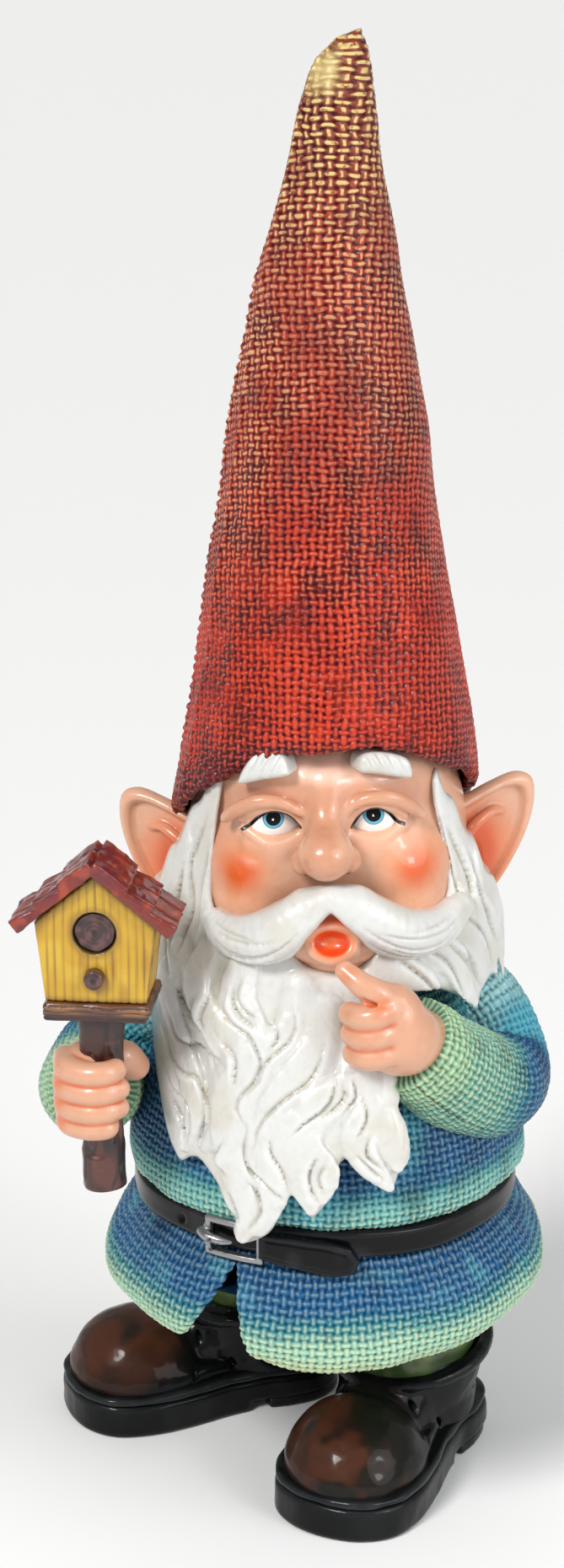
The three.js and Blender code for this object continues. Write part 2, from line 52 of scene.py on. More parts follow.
post_box = np.array(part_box("birdhouse_post"), float)
SHIFT = np.array([*(post_box.mean(axis=0)[:2] * 1000 - (POST_X, POST_Y)), 0.0])
COARSE = 1.0


# ---- Numbers ------------------------------------------------------------------------------------


def unit(v):
    v = np.asarray(v, float)
    return v / np.linalg.norm(v, axis=-1, keepdims=True)


def step(edge0, edge1, x):
    """0 below edge0, 1 above edge1, and smooth between."""
    t = np.clip((x - edge0) / (edge1 - edge0), 0.0, 1.0)
    return t * t * (3 - 2 * t)


def bell(x, middle, width):
    return np.exp(-(((x - middle) / width) ** 2))


def track(points, count):
    """A smooth curve through rows of numbers, as count evenly spaced rows."""
    p = np.asarray(points, float)
    padded = np.vstack([2 * p[0] - p[1], p, 2 * p[-1] - p[-2]])
    at = np.linspace(0, len(p) - 1, count)
    k = np.minimum(at.astype(int), len(p) - 2)
    t = (at - k)[:, None]
    a, b, c, d = (padded[k + i] for i in range(4))
    return 0.5 * (2 * b + (c - a) * t + (2 * a - 5 * b + 4 * c - d) * t**2 + (3 * b - a - 3 * c + d) * t**3)


def levels(z, table):
    """Smooth columns of a table against its first column, at heights z."""
    table = np.asarray(table, float)
    z = np.asarray(z, float)
    order = np.argsort(table[:, 0])
    table = table[order]
    k = np.clip(np.searchsorted(table[:, 0], z) - 1, 0, len(table) - 2)
    slopes = np.gradient(table[:, 1:], table[:, 0], axis=0)
    h = (table[k + 1, 0] - table[k, 0])[..., None]
    t = np.clip((z[..., None] - table[k, 0][..., None]) / h, 0, 1)
    a, b = table[k, 1:], table[k + 1, 1:]
    return (
        (2 * t**3 - 3 * t**2 + 1) * a
        + (t**3 - 2 * t**2 + t) * h * slopes[k]
        + (3 * t**2 - 2 * t**3) * b
        + (t**3 - t**2) * h * slopes[k + 1]
    )


LATTICE = np.random.RandomState(7).rand(48, 48, 48).astype(np.float32)


def lumps(p, size, seed=0):
    """Smooth random numbers from -1 to 1, with lumps of a size in millimetres."""
    q = np.asarray(p, float) / size + seed * 7.31
    k = np.floor(q).astype(int)
    t = q - k
    t = t * t * (3 - 2 * t)
    total = 0.0
    for corner in range(8):
        bits = [(corner >> a) & 1 for a in range(3)]
        weight = 1.0
        for a in range(3):
            weight = weight * (t[..., a] if bits[a] else 1 - t[..., a])
        i, j, m = ((k[..., a] + bits[a]) % 48 for a in range(3))
        total = total + weight * LATTICE[i, j, m]
    return 2 * total - 1


# ---- Clay: solids as distances on a grid --------------------------------------------------------


def smooth_min(a, b, k):
    if k <= 0:
        return np.minimum(a, b)
    h = np.maximum(k - np.abs(a - b), 0.0) / k
    return np.minimum(a, b) - h * h * k * 0.25


class Clay:
    """A solid kept as signed distances in millimetres on a grid, negative inside."""

    def __init__(self, low, high, spacing):
        self.low = np.array(low, float)
        self.spacing = spacing * COARSE
        self.count = np.ceil((np.array(high, float) - self.low) / self.spacing).astype(int) + 1
        self.d = np.full(self.count, 30.0, np.float32)

    def near(self, low, high):
        a = np.floor((np.array(low, float) - self.low) / self.spacing)
        b = np.ceil((np.array(high, float) - self.low) / self.spacing) + 1
        a = np.clip(a, 0, self.count - 1).astype(int)
        b = np.clip(b, 1, self.count).astype(int)
        where = tuple(slice(i, j) for i, j in zip(a, b))
        axes = [self.low[k] + self.spacing * np.arange(a[k], b[k]) for k in range(3)]
        return where, np.meshgrid(*axes, indexing="ij", sparse=True)

    def add(self, shape, blend=0.0):
        low, high, distance = shape
        reach = max(blend, 4 * self.spacing)
        where, p = self.near(np.array(low) - reach, np.array(high) + reach)
        self.d[where] = smooth_min(self.d[where], distance(*p), blend)
        return self

    def cut(self, shape, blend=0.0):
        low, high, distance = shape
        where, p = self.near(np.array(low) - blend, np.array(high) + blend)
        self.d[where] = -smooth_min(-self.d[where], distance(*p), blend)
        return self

    def keep(self, distance, blend=0.0):
        """Keeps only what is inside a shape that covers the whole grid."""
        _, p = self.near(self.low, self.low + self.spacing * self.count)
        self.d = -smooth_min(-self.d, -distance(*p), blend)
        return self

    def skin(self, rounds=2):
        """The surface as vertices and quads."""
        inside = self.d < 0
        stride = np.array([self.count[1] * self.count[2], self.count[2], 1])
        spots, cells, quads = [], [], []
        for a in range(3):
            b, c = (a + 1) % 3, (a + 2) % 3
            first = [slice(1, -1)] * 3
            first[a] = slice(0, -1)
            second = list(first)
            second[a] = slice(1, None)
            here, there = inside[tuple(first)], inside[tuple(second)]
            edge = np.argwhere(here != there)
            edge[:, [b, c]] += 1
            d0 = self.d[tuple(edge.T)]
            ahead = edge.copy()
            ahead[:, a] += 1
            d1 = self.d[tuple(ahead.T)]
            spot = edge.astype(float)
            spot[:, a] += d0 / (d0 - d1)
            cell = edge @ stride
            around = [cell - stride[b] - stride[c], cell - stride[c], cell, cell - stride[b]]
            spots += [spot] * 4
            cells += around
            quad = np.stack(around, axis=1)
            out = d0 >= 0
            quad[out] = quad[out][:, ::-1]
            quads.append(quad)
        cells, spots, quads = np.concatenate(cells), np.concatenate(spots), np.concatenate(quads)
        names, index = np.unique(cells, return_inverse=True)
        share = np.bincount(index)
        verts = np.stack([np.bincount(index, spots[:, k]) / share for k in range(3)], axis=1)
        verts = self.low + verts * self.spacing
        quads = np.searchsorted(names, quads)
        return relax(verts, quads, rounds), quads


def relax(verts, quads, rounds, amount=0.5):
    """Evens out a surface by moving each vertex towards the middle of its neighbours."""
    a, b = quads.ravel(), np.roll(quads, -1, axis=1).ravel()
    share = np.bincount(a, minlength=len(verts)) + np.bincount(b, minlength=len(verts))
    for _ in range(rounds):
        total = [
            np.bincount(a, verts[b, k], len(verts)) + np.bincount(b, verts[a, k], len(verts))
            for k in range(3)
        ]
        verts = verts + amount * (np.stack(total, axis=1) / share[:, None] - verts)
    return verts


def normals(verts, quads):
    n = np.cross(verts[quads[:, 2]] - verts[quads[:, 0]], verts[quads[:, 3]] - verts[quads[:, 1]])
    total = np.zeros_like(verts)
    for k in range(4):
        for axis in range(3):
            total[:, axis] += np.bincount(quads[:, k], n[:, axis], len(verts))
    return total / np.maximum(np.linalg.norm(total, axis=1, keepdims=True), 1e-9)


def pushed(verts, quads, amount):
    """The surface's points moved outwards by an amount for each, in millimetres."""
    return verts + normals(verts, quads) * amount[:, None]


def push_round(p, amount, angle):
    """Moves points away from the upright axis, in place."""
    p[..., 0] += amount * np.cos(angle)
    p[..., 1] += amount * np.sin(angle)


def hollow(verts, quads, rounds=10):
    """How deep each vertex lies below the evened-out surface, in millimetres."""
    return np.einsum("ij,ij->i", relax(verts, quads, rounds) - verts, normals(verts, quads))


def turn(yaw=0.0, pitch=0.0, roll=0.0):
    """Rows are the turned X, Y and Z axes. The angles are in degrees, about Z, then X, then Y."""
    y, p, r = np.radians([yaw, pitch, roll])
    about_z = np.array([[np.cos(y), -np.sin(y), 0], [np.sin(y), np.cos(y), 0], [0, 0, 1]])
    about_x = np.array([[1, 0, 0], [0, np.cos(p), -np.sin(p)], [0, np.sin(p), np.cos(p)]])
    about_y = np.array([[np.cos(r), 0, np.sin(r)], [0, 1, 0], [-np.sin(r), 0, np.cos(r)]])
    return (about_z @ about_x @ about_y).T


def local(centre, axes, x, y, z):
    q = (x - centre[0], y - centre[1], z - centre[2])
    if axes is None:
        return q
    turned = []
    for row in axes:
        terms = [c * v for c, v in zip(row, q) if abs(c) > 1e-9]
        turned.append(sum(terms[1:], terms[0]))
    return turned


def ball(centre, radii, axes=None):
    c, r = np.array(centre, float), np.broadcast_to(np.array(radii, float), 3)
    reach = np.full(3, r.max())

    def distance(x, y, z):
        q = local(c, axes, x, y, z)
        k0 = np.sqrt(sum((q[i] / r[i]) ** 2 for i in range(3)))
        k1 = np.sqrt(sum((q[i] / r[i] ** 2) ** 2 for i in range(3)))
        return k0 * (k0 - 1) / np.maximum(k1, 1e-6)

    return c - reach, c + reach, distance


def brick(centre, halves, rounding=0.0, axes=None):
    c, h = np.array(centre, float), np.array(halves, float) - rounding
    reach = np.full(3, np.linalg.norm(h) + rounding)

    def distance(x, y, z):
        q = [np.abs(v) - h[i] for i, v in enumerate(local(c, axes, x, y, z))]
        outer = np.sqrt(sum(np.maximum(v, 0) ** 2 for v in q))
        return outer + np.minimum(np.maximum(np.maximum(q[0], q[1]), q[2]), 0) - rounding

    return c - reach, c + reach, distance


def limb(points, flat=1.0, outward=None, grooves=0, depth=0.0, twist=0.0, count=None, reach=7.0):
    """A round limb through [x, y, z, radius] points. Flat thins it along its outward direction.
    Its distance is worked out only as far as reach from its surface."""
    p = track(points, count or 4 * len(points))
    r = np.maximum(p[:, 3], 0.15)
    low, high = (p[:, :3] - r[:, None]).min(0), (p[:, :3] + r[:, None]).max(0)

    def distance(x, y, z):
        best = np.full(np.broadcast_shapes(x.shape, y.shape, z.shape), 30.0)
        for k in range(len(p) - 1):
            a, along = p[k, :3], p[k + 1, :3] - p[k, :3]
            size = along @ along
            if size < 1e-9:
                continue
            margin = max(r[k], r[k + 1]) + reach
            near = []
            for i, axis in enumerate((x, y, z)):
                line = axis.ravel()
                first = np.searchsorted(line, min(p[k, i], p[k + 1, i]) - margin)
                near.append(slice(first, np.searchsorted(line, max(p[k, i], p[k + 1, i]) + margin)))
            here = tuple(near)
            q = (x[near[0]] - a[0], y[:, near[1]] - a[1], z[:, :, near[2]] - a[2])
            h = np.clip((q[0] * along[0] + q[1] * along[1] + q[2] * along[2]) / size, 0, 1)
            q = [q[i] - h * along[i] for i in range(3)]
            radius = r[k] + (r[k + 1] - r[k]) * h
            if outward is None:
                d = np.sqrt(q[0] ** 2 + q[1] ** 2 + q[2] ** 2) - radius
            else:
                n = np.array(outward(a), float)
                w = unit(np.cross(along, n))
                n = unit(np.cross(w, along))
                u = (q[0] * n[0] + q[1] * n[1] + q[2] * n[2]) / flat
                v = q[0] * w[0] + q[1] * w[1] + q[2] * w[2]
                rest = np.maximum(q[0] ** 2 + q[1] ** 2 + q[2] ** 2 - (u * flat) ** 2 - v**2, 0)
                m = np.sqrt(u**2 + v**2 + rest)
                d = (m - radius) * flat ** (0.5 * (u / np.maximum(m, 1e-6)) ** 2)
                if grooves:
                    angle = np.arctan2(v, u)
                    d = d + depth * radius * np.abs(np.cos(grooves * 0.5 * angle + twist)) ** 0.7
            best[here] = np.minimum(best[here], d)
        return best

    return low, high, distance


def outline_distance(points, u, v):
    """Signed distance from a closed outline in the plane, negative inside."""
    p = np.asarray(points, float)
    best, sign = None, 1.0
    for a, b in zip(p, np.roll(p, -1, axis=0)):
        e = b - a
        wu, wv = u - a[0], v - a[1]
        h = np.clip((wu * e[0] + wv * e[1]) / (e @ e), 0, 1)
        d = (wu - e[0] * h) ** 2 + (wv - e[1] * h) ** 2
        best = d if best is None else np.minimum(best, d)
        up, down, left = a[1] <= v, b[1] > v, e[0] * wv - e[1] * wu
        flips = (up & down & (left > 0)) | (~up & ~down & (left < 0))
        sign = np.where(flips, -sign, sign)
    return sign * np.sqrt(best)


def slab(points, low_y, high_y, rounding=0.0, across=(0, 2), axes=None, centre=(0, 0, 0)):
    """An outline in two axes, extruded along the third."""
    third = 3 - sum(across)
    c = np.array(centre, float)
    p = np.asarray(points, float)
    reach = np.full(3, np.abs(p).max() + max(abs(low_y), abs(high_y)))
    middle, half = (low_y + high_y) / 2, (high_y - low_y) / 2 - rounding

    def distance(x, y, z):
        q = local(c, axes, x, y, z)
        flat = outline_distance(p, q[across[0]], q[across[1]]) + rounding
        deep = np.abs(q[third] - middle) - half
        outer = np.sqrt(np.maximum(flat, 0) ** 2 + np.maximum(deep, 0) ** 2)
        return outer + np.minimum(np.maximum(flat, deep), 0) - rounding

    return c - reach, c + reach, distance


# ---- Paint --------------------------------------------------------------------------------------


def colour(r, g, b):
    """A screen colour, 0 to 255, as the linear colour that shaders use."""
    c = np.array([r, g, b], float) / 255
    return np.where(c <= 0.04045, c / 12.92, ((c + 0.055) / 1.055) ** 2.4)


def mix(a, b, amount):
    amount = np.clip(np.asarray(amount, float), 0, 1)[..., None]
    return a + (b - a) * amount


def layered(paint, *layers):
    """Lays colours over a paint, one after another: each with where it covers, 0 to 1."""
    for top, amount in layers:
        paint = mix(paint, top, amount)
    return paint


class Wire:
    """A number in a material's nodes, so that formulas read as arithmetic."""

    def __init__(self, tree, socket):
        self.tree, self.socket = tree, socket

    def math(self, operation, *others, swap=False):
        node = self.tree.nodes.new("ShaderNodeMath")
        node.operation = operation
        values = [self, *others]
        for slot, value in zip(node.inputs, values[::-1] if swap else values):
            if isinstance(value, Wire):
                self.tree.links.new(value.socket, slot)
            else:
                slot.default_value = value
        return Wire(self.tree, node.outputs[0])

    def __add__(self, other):
        return self.math("ADD", other)

    def __sub__(self, other):
        return self.math("SUBTRACT", other)

    def __rsub__(self, other):
        return self.math("SUBTRACT", other, swap=True)

    def __mul__(self, other):
        return self.math("MULTIPLY", other)

    __radd__, __rmul__ = __add__, __mul__

    def ramp(self, low, high):
        """0 below low, 1 above high, smooth between."""
        node = self.tree.nodes.new("ShaderNodeMapRange")
        node.interpolation_type = "SMOOTHSTEP"
        self.tree.links.new(self.socket, node.inputs["Value"])
        node.inputs["From Min"].default_value = low
        node.inputs["From Max"].default_value = high
        return Wire(self.tree, node.outputs["Result"])


class Material:
    """A painted and varnished surface: colours go in through lay(), heights through press()."""

    def __init__(self, name, paint, roughness=0.4, coat=0.5, coat_roughness=0.12, **sockets):
        self.material = bpy.data.materials.new(name)
        self.material.use_nodes = True
        self.tree = self.material.node_tree
        self.shader = self.tree.nodes["Principled BSDF"]
        self.set(
            self.shader, roughness=roughness, coat_weight=coat, coat_roughness=coat_roughness, **sockets,
        )
        self.colour = self.attribute("Paint").outputs["Color"] if paint is None else None
        if paint is not None:
            rgb = self.tree.nodes.new("ShaderNodeRGB")
            rgb.outputs[0].default_value = (*paint, 1)
            self.colour = rgb.outputs[0]
        self.height = None

    def set(self, node, **sockets):
        for key, value in sockets.items():
            node.inputs[key.replace("_", " ").title().replace("Ior", "IOR")].default_value = value

    def attribute(self, name):
        node = self.tree.nodes.new("ShaderNodeAttribute")
        node.attribute_name = name
        return node

    def number(self, name):
        return Wire(self.tree, self.attribute(name).outputs["Fac"])

    def noise(self, size, detail=3.0, stretch=(1, 1, 1), seed=0.0):
        """Noise from 0 to 1 with lumps of a size in millimetres."""
        place = self.tree.nodes.new("ShaderNodeTexCoord")
        mapping = self.tree.nodes.new("ShaderNodeMapping")
        mapping.inputs["Scale"].default_value = tuple(1000 / size / s for s in stretch)
        mapping.inputs["Location"].default_value = (seed, seed * 0.7, seed * 1.3)
        node = self.tree.nodes.new("ShaderNodeTexNoise")
        self.set(node, scale=1.0, detail=detail, roughness=0.55)
        self.tree.links.new(place.outputs["Object"], mapping.inputs["Vector"])
        self.tree.links.new(mapping.outputs["Vector"], node.inputs["Vector"])
        return Wire(self.tree, node.outputs["Fac"])

    def lay(self, top, amount, blend="MIX"):
        """Lays a colour, or a named colour attribute, over the paint where amount is high."""
        node = self.tree.nodes.new("ShaderNodeMix")
        node.data_type, node.blend_type = "RGBA", blend
        self.tree.links.new(self.colour, node.inputs[6])
        if isinstance(top, str):
            self.tree.links.new(self.attribute(top).outputs["Color"], node.inputs[7])
        else:
            node.inputs[7].default_value = (*top, 1)
        if isinstance(amount, Wire):
            self.tree.links.new(amount.socket, node.inputs[0])
        else:
            node.inputs[0].default_value = amount
        self.colour = node.outputs[2]
        return self

    def press(self, height, millimetres):
        """Adds a relief of a number of millimetres."""
        height = height * (millimetres / 1000)
        self.height = height if self.height is None else self.height + height
        return self

    def done(self):
        self.tree.links.new(self.colour, self.shader.inputs["Base Color"])
        if self.height is not None:
            bump = self.tree.nodes.new("ShaderNodeBump")
            bump.inputs["Distance"].default_value = 1.0
            self.tree.links.new(self.height.socket, bump.inputs["Height"])
            self.tree.links.new(bump.outputs["Normal"], self.shader.inputs["Normal"])
        return self.material


def cosine(x):
    return x.math("COSINE") if isinstance(x, Wire) else np.cos(x)


def floor(x):
    return x.math("FLOOR") if isinstance(x, Wire) else np.floor(x)


def highest(a, b):
    return a.math("MAXIMUM", b) if isinstance(a, Wire) else np.maximum(a, b)


def weave(u, v, lean=0.0):
    """The height of a plain weave, about -1 in its holes to 0.42 on its threads. One thread is 1 wide;
    u counts the upright threads, v the level ones. Lean raises the upright threads over the level ones."""

    def thread(across, along, side):
        number = floor(across)
        crown = cosine(math.pi * (across - number - 0.5))
        rise = cosine(math.pi * (along - 0.5 - number)) * 1.8
        return 1.75 * (crown - 1.0) + side * 0.42 * highest(-1.0 * highest(-1.0 * rise, -1.0), -1.0)

    return highest(thread(u, v, 1.0) + lean, thread(v, u, -1.0) - lean)


def painted(name, **options):
    """Glossy resin, its colour painted on the mesh, with slight unevenness in colour and gloss."""
    m = Material(name, None, **options)
    m.lay(colour(120, 100, 80), 0.10 * m.noise(3.0, seed=3).ramp(0.45, 0.8), "MULTIPLY")
    m.press(m.noise(2.2, 2.0), 0.05).press(m.noise(0.5, 2.0), 0.006)
    return m


def cloth(name, relief, holes=-0.35, **options):
    """Painted burlap: dark paint in the holes, on the coat a darker copy of its paint as painted shade, and
    dry-brushed paint on the threads.
    """
    m = Material(name, None, **options)
    height = (
        weave(m.number("Across"), m.number("Along"), m.number("Lean"))
        + 0.3 * (m.noise(1.3, 4.0) - 0.5)
    )
    m.lay("Under", 1.0 - height.ramp(-0.95, holes))
    m.lay("Tips", height.ramp(-0.02, 0.28) * m.number("Brush") * m.noise(1.6, 3.0, seed=9).ramp(0.3, 0.5))
    m.press(height, relief).press(m.noise(0.35, 3.0), 0.035)
    return m


SKIN = painted("skin paint", roughness=0.36, coat=0.55, coat_roughness=0.1, subsurface_weight=0.06)
SKIN.set(SKIN.shader, subsurface_scale=0.002)
SKIN.lay(colour(24, 12, 10), 1.0 - SKIN.number("Line").ramp(0.36, 0.56))
HAIR = painted("hair paint", roughness=0.34, coat=0.5, coat_roughness=0.12)
HAIR.press(HAIR.noise(1.1, 2.0, (0.6, 0.6, 6.0), seed=4), 0.05)
EYE = Material(
    "eye paint", colour(244, 243, 240), roughness=0.25, coat=0.12, coat_roughness=0.05,
    specular_ior_level=0.2,
)
EYE.lay(colour(236, 214, 204), 0.35 * EYE.noise(6.0).ramp(0.5, 0.8))
RINGS = EYE.number("Rings") + 0.12 * (EYE.noise(0.8, 2.0) - 0.5)
EYE.lay(colour(70, 128, 150), 1.0 - RINGS.ramp(2.68, 2.8))
EYE.lay(colour(104, 182, 206), 1.0 - RINGS.ramp(2.4, 2.6))
EYE.lay(colour(6, 6, 8), 1.0 - RINGS.ramp(1.86, 1.98))
EYE.lay(colour(20, 10, 8), 1.0 - EYE.number("Line").ramp(0.34, 0.52))
EYE.lay(colour(245, 245, 245), 1.0 - EYE.number("Glint").ramp(0.26, 0.36))
HAT_CLOTH = cloth(
    "hat burlap", 0.34, -0.1, roughness=0.3, coat=0.16, coat_roughness=0.1, specular_ior_level=0.3,
)
COAT_CLOTH = cloth(
    "coat burlap", 0.26, roughness=0.4, coat=0.08, coat_roughness=0.15, specular_ior_level=0.25,
)
LEATHER = painted("boot paint", roughness=0.3, coat=0.24, coat_roughness=0.08, specular_ior_level=0.08)
LEATHER.press(LEATHER.noise(6.0, 4.0, seed=2), 0.12)
BELT_PAINT = painted("belt paint", roughness=0.26, coat=0.26, coat_roughness=0.06, specular_ior_level=0.08)
WOOD = painted("wood paint", roughness=0.38, coat=0.5, coat_roughness=0.14)
WOOD.press(WOOD.noise(1.3, 4.0, seed=6), 0.08)
TROUSER_PAINT = painted("trouser paint", roughness=0.45, coat=0.3, coat_roughness=0.2)
TROUSER_PAINT.press(TROUSER_PAINT.noise(1.5, 4.0), 0.12)
SILVER = Material("buckle paint", colour(150, 150, 152), roughness=0.3, metallic=0.85, coat=0.5)
SILVER.lay(colour(26, 26, 30), SILVER.noise(2.2, 4.0).ramp(0.54, 0.7))
SILVER.press(SILVER.noise(1.0, 4.0), 0.08)
MATERIALS = {
    key: value.done()
    for key, value in dict(
        skin=SKIN, hair=HAIR, eye=EYE, hat=HAT_CLOTH, coat=COAT_CLOTH, leather=LEATHER, belt=BELT_PAINT,
        wood=WOOD, trousers=TROUSER_PAINT, silver=SILVER,
    ).items()
}


def piece(name, verts, faces, node, slot, material, **paints):
    """Makes an object of a mesh in millimetres. Faces is one array of quads or a list of arrays."""
    faces = [np.asarray(f, np.int32) for f in (faces if isinstance(faces, list) else [faces])]
    sizes = np.concatenate([np.full(len(f), f.shape[1]) for f in faces])
    mesh = bpy.data.meshes.new(name)
    mesh.vertices.add(len(verts))
    mesh.vertices.foreach_set("co", ((verts + SHIFT) / 1000).astype(np.float32).ravel())
    mesh.loops.add(int(sizes.sum()))
    mesh.loops.foreach_set("vertex_index", np.concatenate([f.ravel() for f in faces]))
    mesh.polygons.add(len(sizes))
    mesh.polygons.foreach_set("loop_start", np.concatenate([[0], np.cumsum(sizes)[:-1]]).astype(np.int32))
    mesh.update(calc_edges=True)
    mesh.shade_smooth()
    for key, values in paints.items():
        values = np.asarray(values, np.float32)
        if values.ndim == 2:
            layer = mesh.attributes.new(key, "FLOAT_COLOR", "POINT")
            layer.data.foreach_set(
                "color", np.hstack([values, np.ones((len(values), 1), np.float32)]).ravel(),
            )
        else:
            layer = mesh.attributes.new(key, "FLOAT", "POINT")
            layer.data.foreach_set("value", values)
    obj = bpy.data.objects.new(name, mesh)
    bpy.context.collection.objects.link(obj)
    mesh.materials.append(MATERIALS[material])
    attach(obj, "root")
    if node:
        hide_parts(node)
    return obj


def grid(rows, columns, closed=True, around=False):
    """Quads between rows of points. Closed joins the last column to the first, around the last row."""
    index = np.arange(rows * columns).reshape(rows, columns)
    if around:
        index = np.vstack([index, index[:1]])
    if closed:
        index = np.hstack([index, index[:, :1]])
    corners = [index[:-1, :-1], index[:-1, 1:], index[1:, 1:], index[1:, :-1]]
    return np.stack(corners, axis=-1).reshape(-1, 4)


def skin_piece(name, verts, quads, node, slot, paint, line=None):
    """A piece of bare skin. Line is the distance from a painted line, far away where there is none."""
    line = np.full(len(verts), 9.0) if line is None else line
    piece(name, verts, quads, node, slot, "skin", Paint=paint, Line=line)


def fan(verts, ring, flip=False):
    """Closes a ring of points with triangles about its middle. Gives the new points and the triangles."""
    verts = np.vstack([verts, verts[ring].mean(axis=0)])
    after = np.roll(ring, -1)
    a, b = (after, ring) if flip else (ring, after)
    return verts, np.stack([a, b, np.full(len(ring), len(verts) - 1)], axis=1)


def circle(radius, middle=0.0, count=40):
    """A round outline about the point 0, middle."""
    turns = np.linspace(0, 2 * np.pi, count)[:-1]
    return [[radius * math.cos(t), middle + radius * math.sin(t)] for t in turns]


# ---- Camera, floor and lights -------------------------------------------------------------------

CAMERA_AT = np.array([-12.0, -700.0, 420.0])
LOOKED_AT = np.array([-12.0, 0.0, 204.6])


def aimed(obj, place, target):
    obj.location = place
    obj.rotation_euler = (Vector(target) - Vector(place)).to_track_quat("-Z", "Y").to_euler()
    bpy.context.collection.objects.link(obj)
    return obj


def set_stage():
    lens = bpy.data.cameras.new("camera")
    lens.lens, lens.sensor_width = 63.1, 36.0
    camera = aimed(
        bpy.data.objects.new("camera", lens), (CAMERA_AT + SHIFT) / 1000, (LOOKED_AT + SHIFT) / 1000,
    )
    bpy.context.scene.camera = camera

    for name, place, power, spread, tint in (
        ("key", (-0.55, -0.75, 0.85), 1.75, 18, (1.0, 0.985, 0.96)),
        ("fill", (0.85, -0.6, 0.55), 1.15, 50, (0.97, 0.98, 1.0)),
    ):
        light = bpy.data.lights.new(name, "SUN")
        light.energy, light.angle, light.color = power, math.radians(spread), tint
        aimed(bpy.data.objects.new(name, light), place, (0, 0, 0))
    for name, place, size, power in (
        ("left box", (-0.5, -0.6, 0.75), 0.2, 1.5),
        ("right box", (0.6, -0.55, 0.5), 0.16, 0.9),
    ):
        light = bpy.data.lights.new(name, "AREA")
        light.shape, light.size, light.energy = "SQUARE", size, power
        aimed(bpy.data.objects.new(name, light), place, (0, 0, 0.15))

    world = bpy.data.worlds.new("studio")
    world.use_nodes = True
    world.node_tree.nodes["Background"].inputs["Color"].default_value = (1, 1, 1, 1)
    world.node_tree.nodes["Background"].inputs["Strength"].default_value = 0.38
    bpy.context.scene.world = world
    bpy.context.scene.view_settings.view_transform = "Standard"

    mesh = bpy.data.meshes.new("floor")
    mesh.from_pydata([(-60, -60, 0), (60, -60, 0), (60, 60, 0), (-60, 60, 0)], [], [(0, 1, 2, 3)])
    floor_piece = bpy.data.objects.new("floor", mesh)
    floor_piece.location = (SHIFT[0] / 1000, SHIFT[1] / 1000, 0)
    bpy.context.collection.objects.link(floor_piece)
    paper = bpy.data.materials.new("studio paper")
    paper.use_nodes = True
    shader = paper.node_tree.nodes["Principled BSDF"]
    shader.inputs["Base Color"].default_value = (0.97, 0.97, 0.97, 1.0)
    shader.inputs["Roughness"].default_value = 0.85
    mesh.materials.append(paper)


# ---- Hat ----------------------------------------------------------------------------------------

THREAD, HAT_THREAD = 2.05, 1.95  # the weave's pitch on the coat and on the hat
HAT_TOP = 400.0
HAT_LEVELS = [  # height, radius and the middle's x
    [203.5, 40.5, 0], [212, 39.8, 0], [234, 35.9, 0], [258, 31.8, 0], [280, 28.1, 0], [302, 25.2, 0],
    [323, 21.4, 0], [344, 17.1, 0.2], [365, 12.3, 1.2], [384, 9.0, 2.2], [394, 6.0, 3.4], [399, 2.6, 4.8],
]
BRIM_Z = 203.5
LINING_ROWS, LINING_HEIGHT = 8, 9.0  # the hat's inside, above its brim
BRIM_SLANT = 0.54  # how much of the hat's radius the brim rises in front, and drops behind


def hat_weave(verts):
    """The numbers of the threads at each point, upright and level, and how far the upright ones lead."""
    slant = 1.02 * (HAT_TOP + 6 - verts[:, 2])
    turned = np.arctan2(verts[:, 0], -verts[:, 1])
    across = slant * np.sin(0.2 * turned) / HAT_THREAD + 60.5
    along = slant * np.cos(0.2 * turned) / HAT_THREAD
    across += 0.35 * lumps(verts, 19, 3) + 0.24 * lumps(verts, 3.8, 4)
    along += 0.35 * lumps(verts, 21, 6) + 0.24 * lumps(verts, 3.8, 7)
    lean = 0.12 - 0.26 * step(250, 320, verts[:, 2])
    return across, along, lean


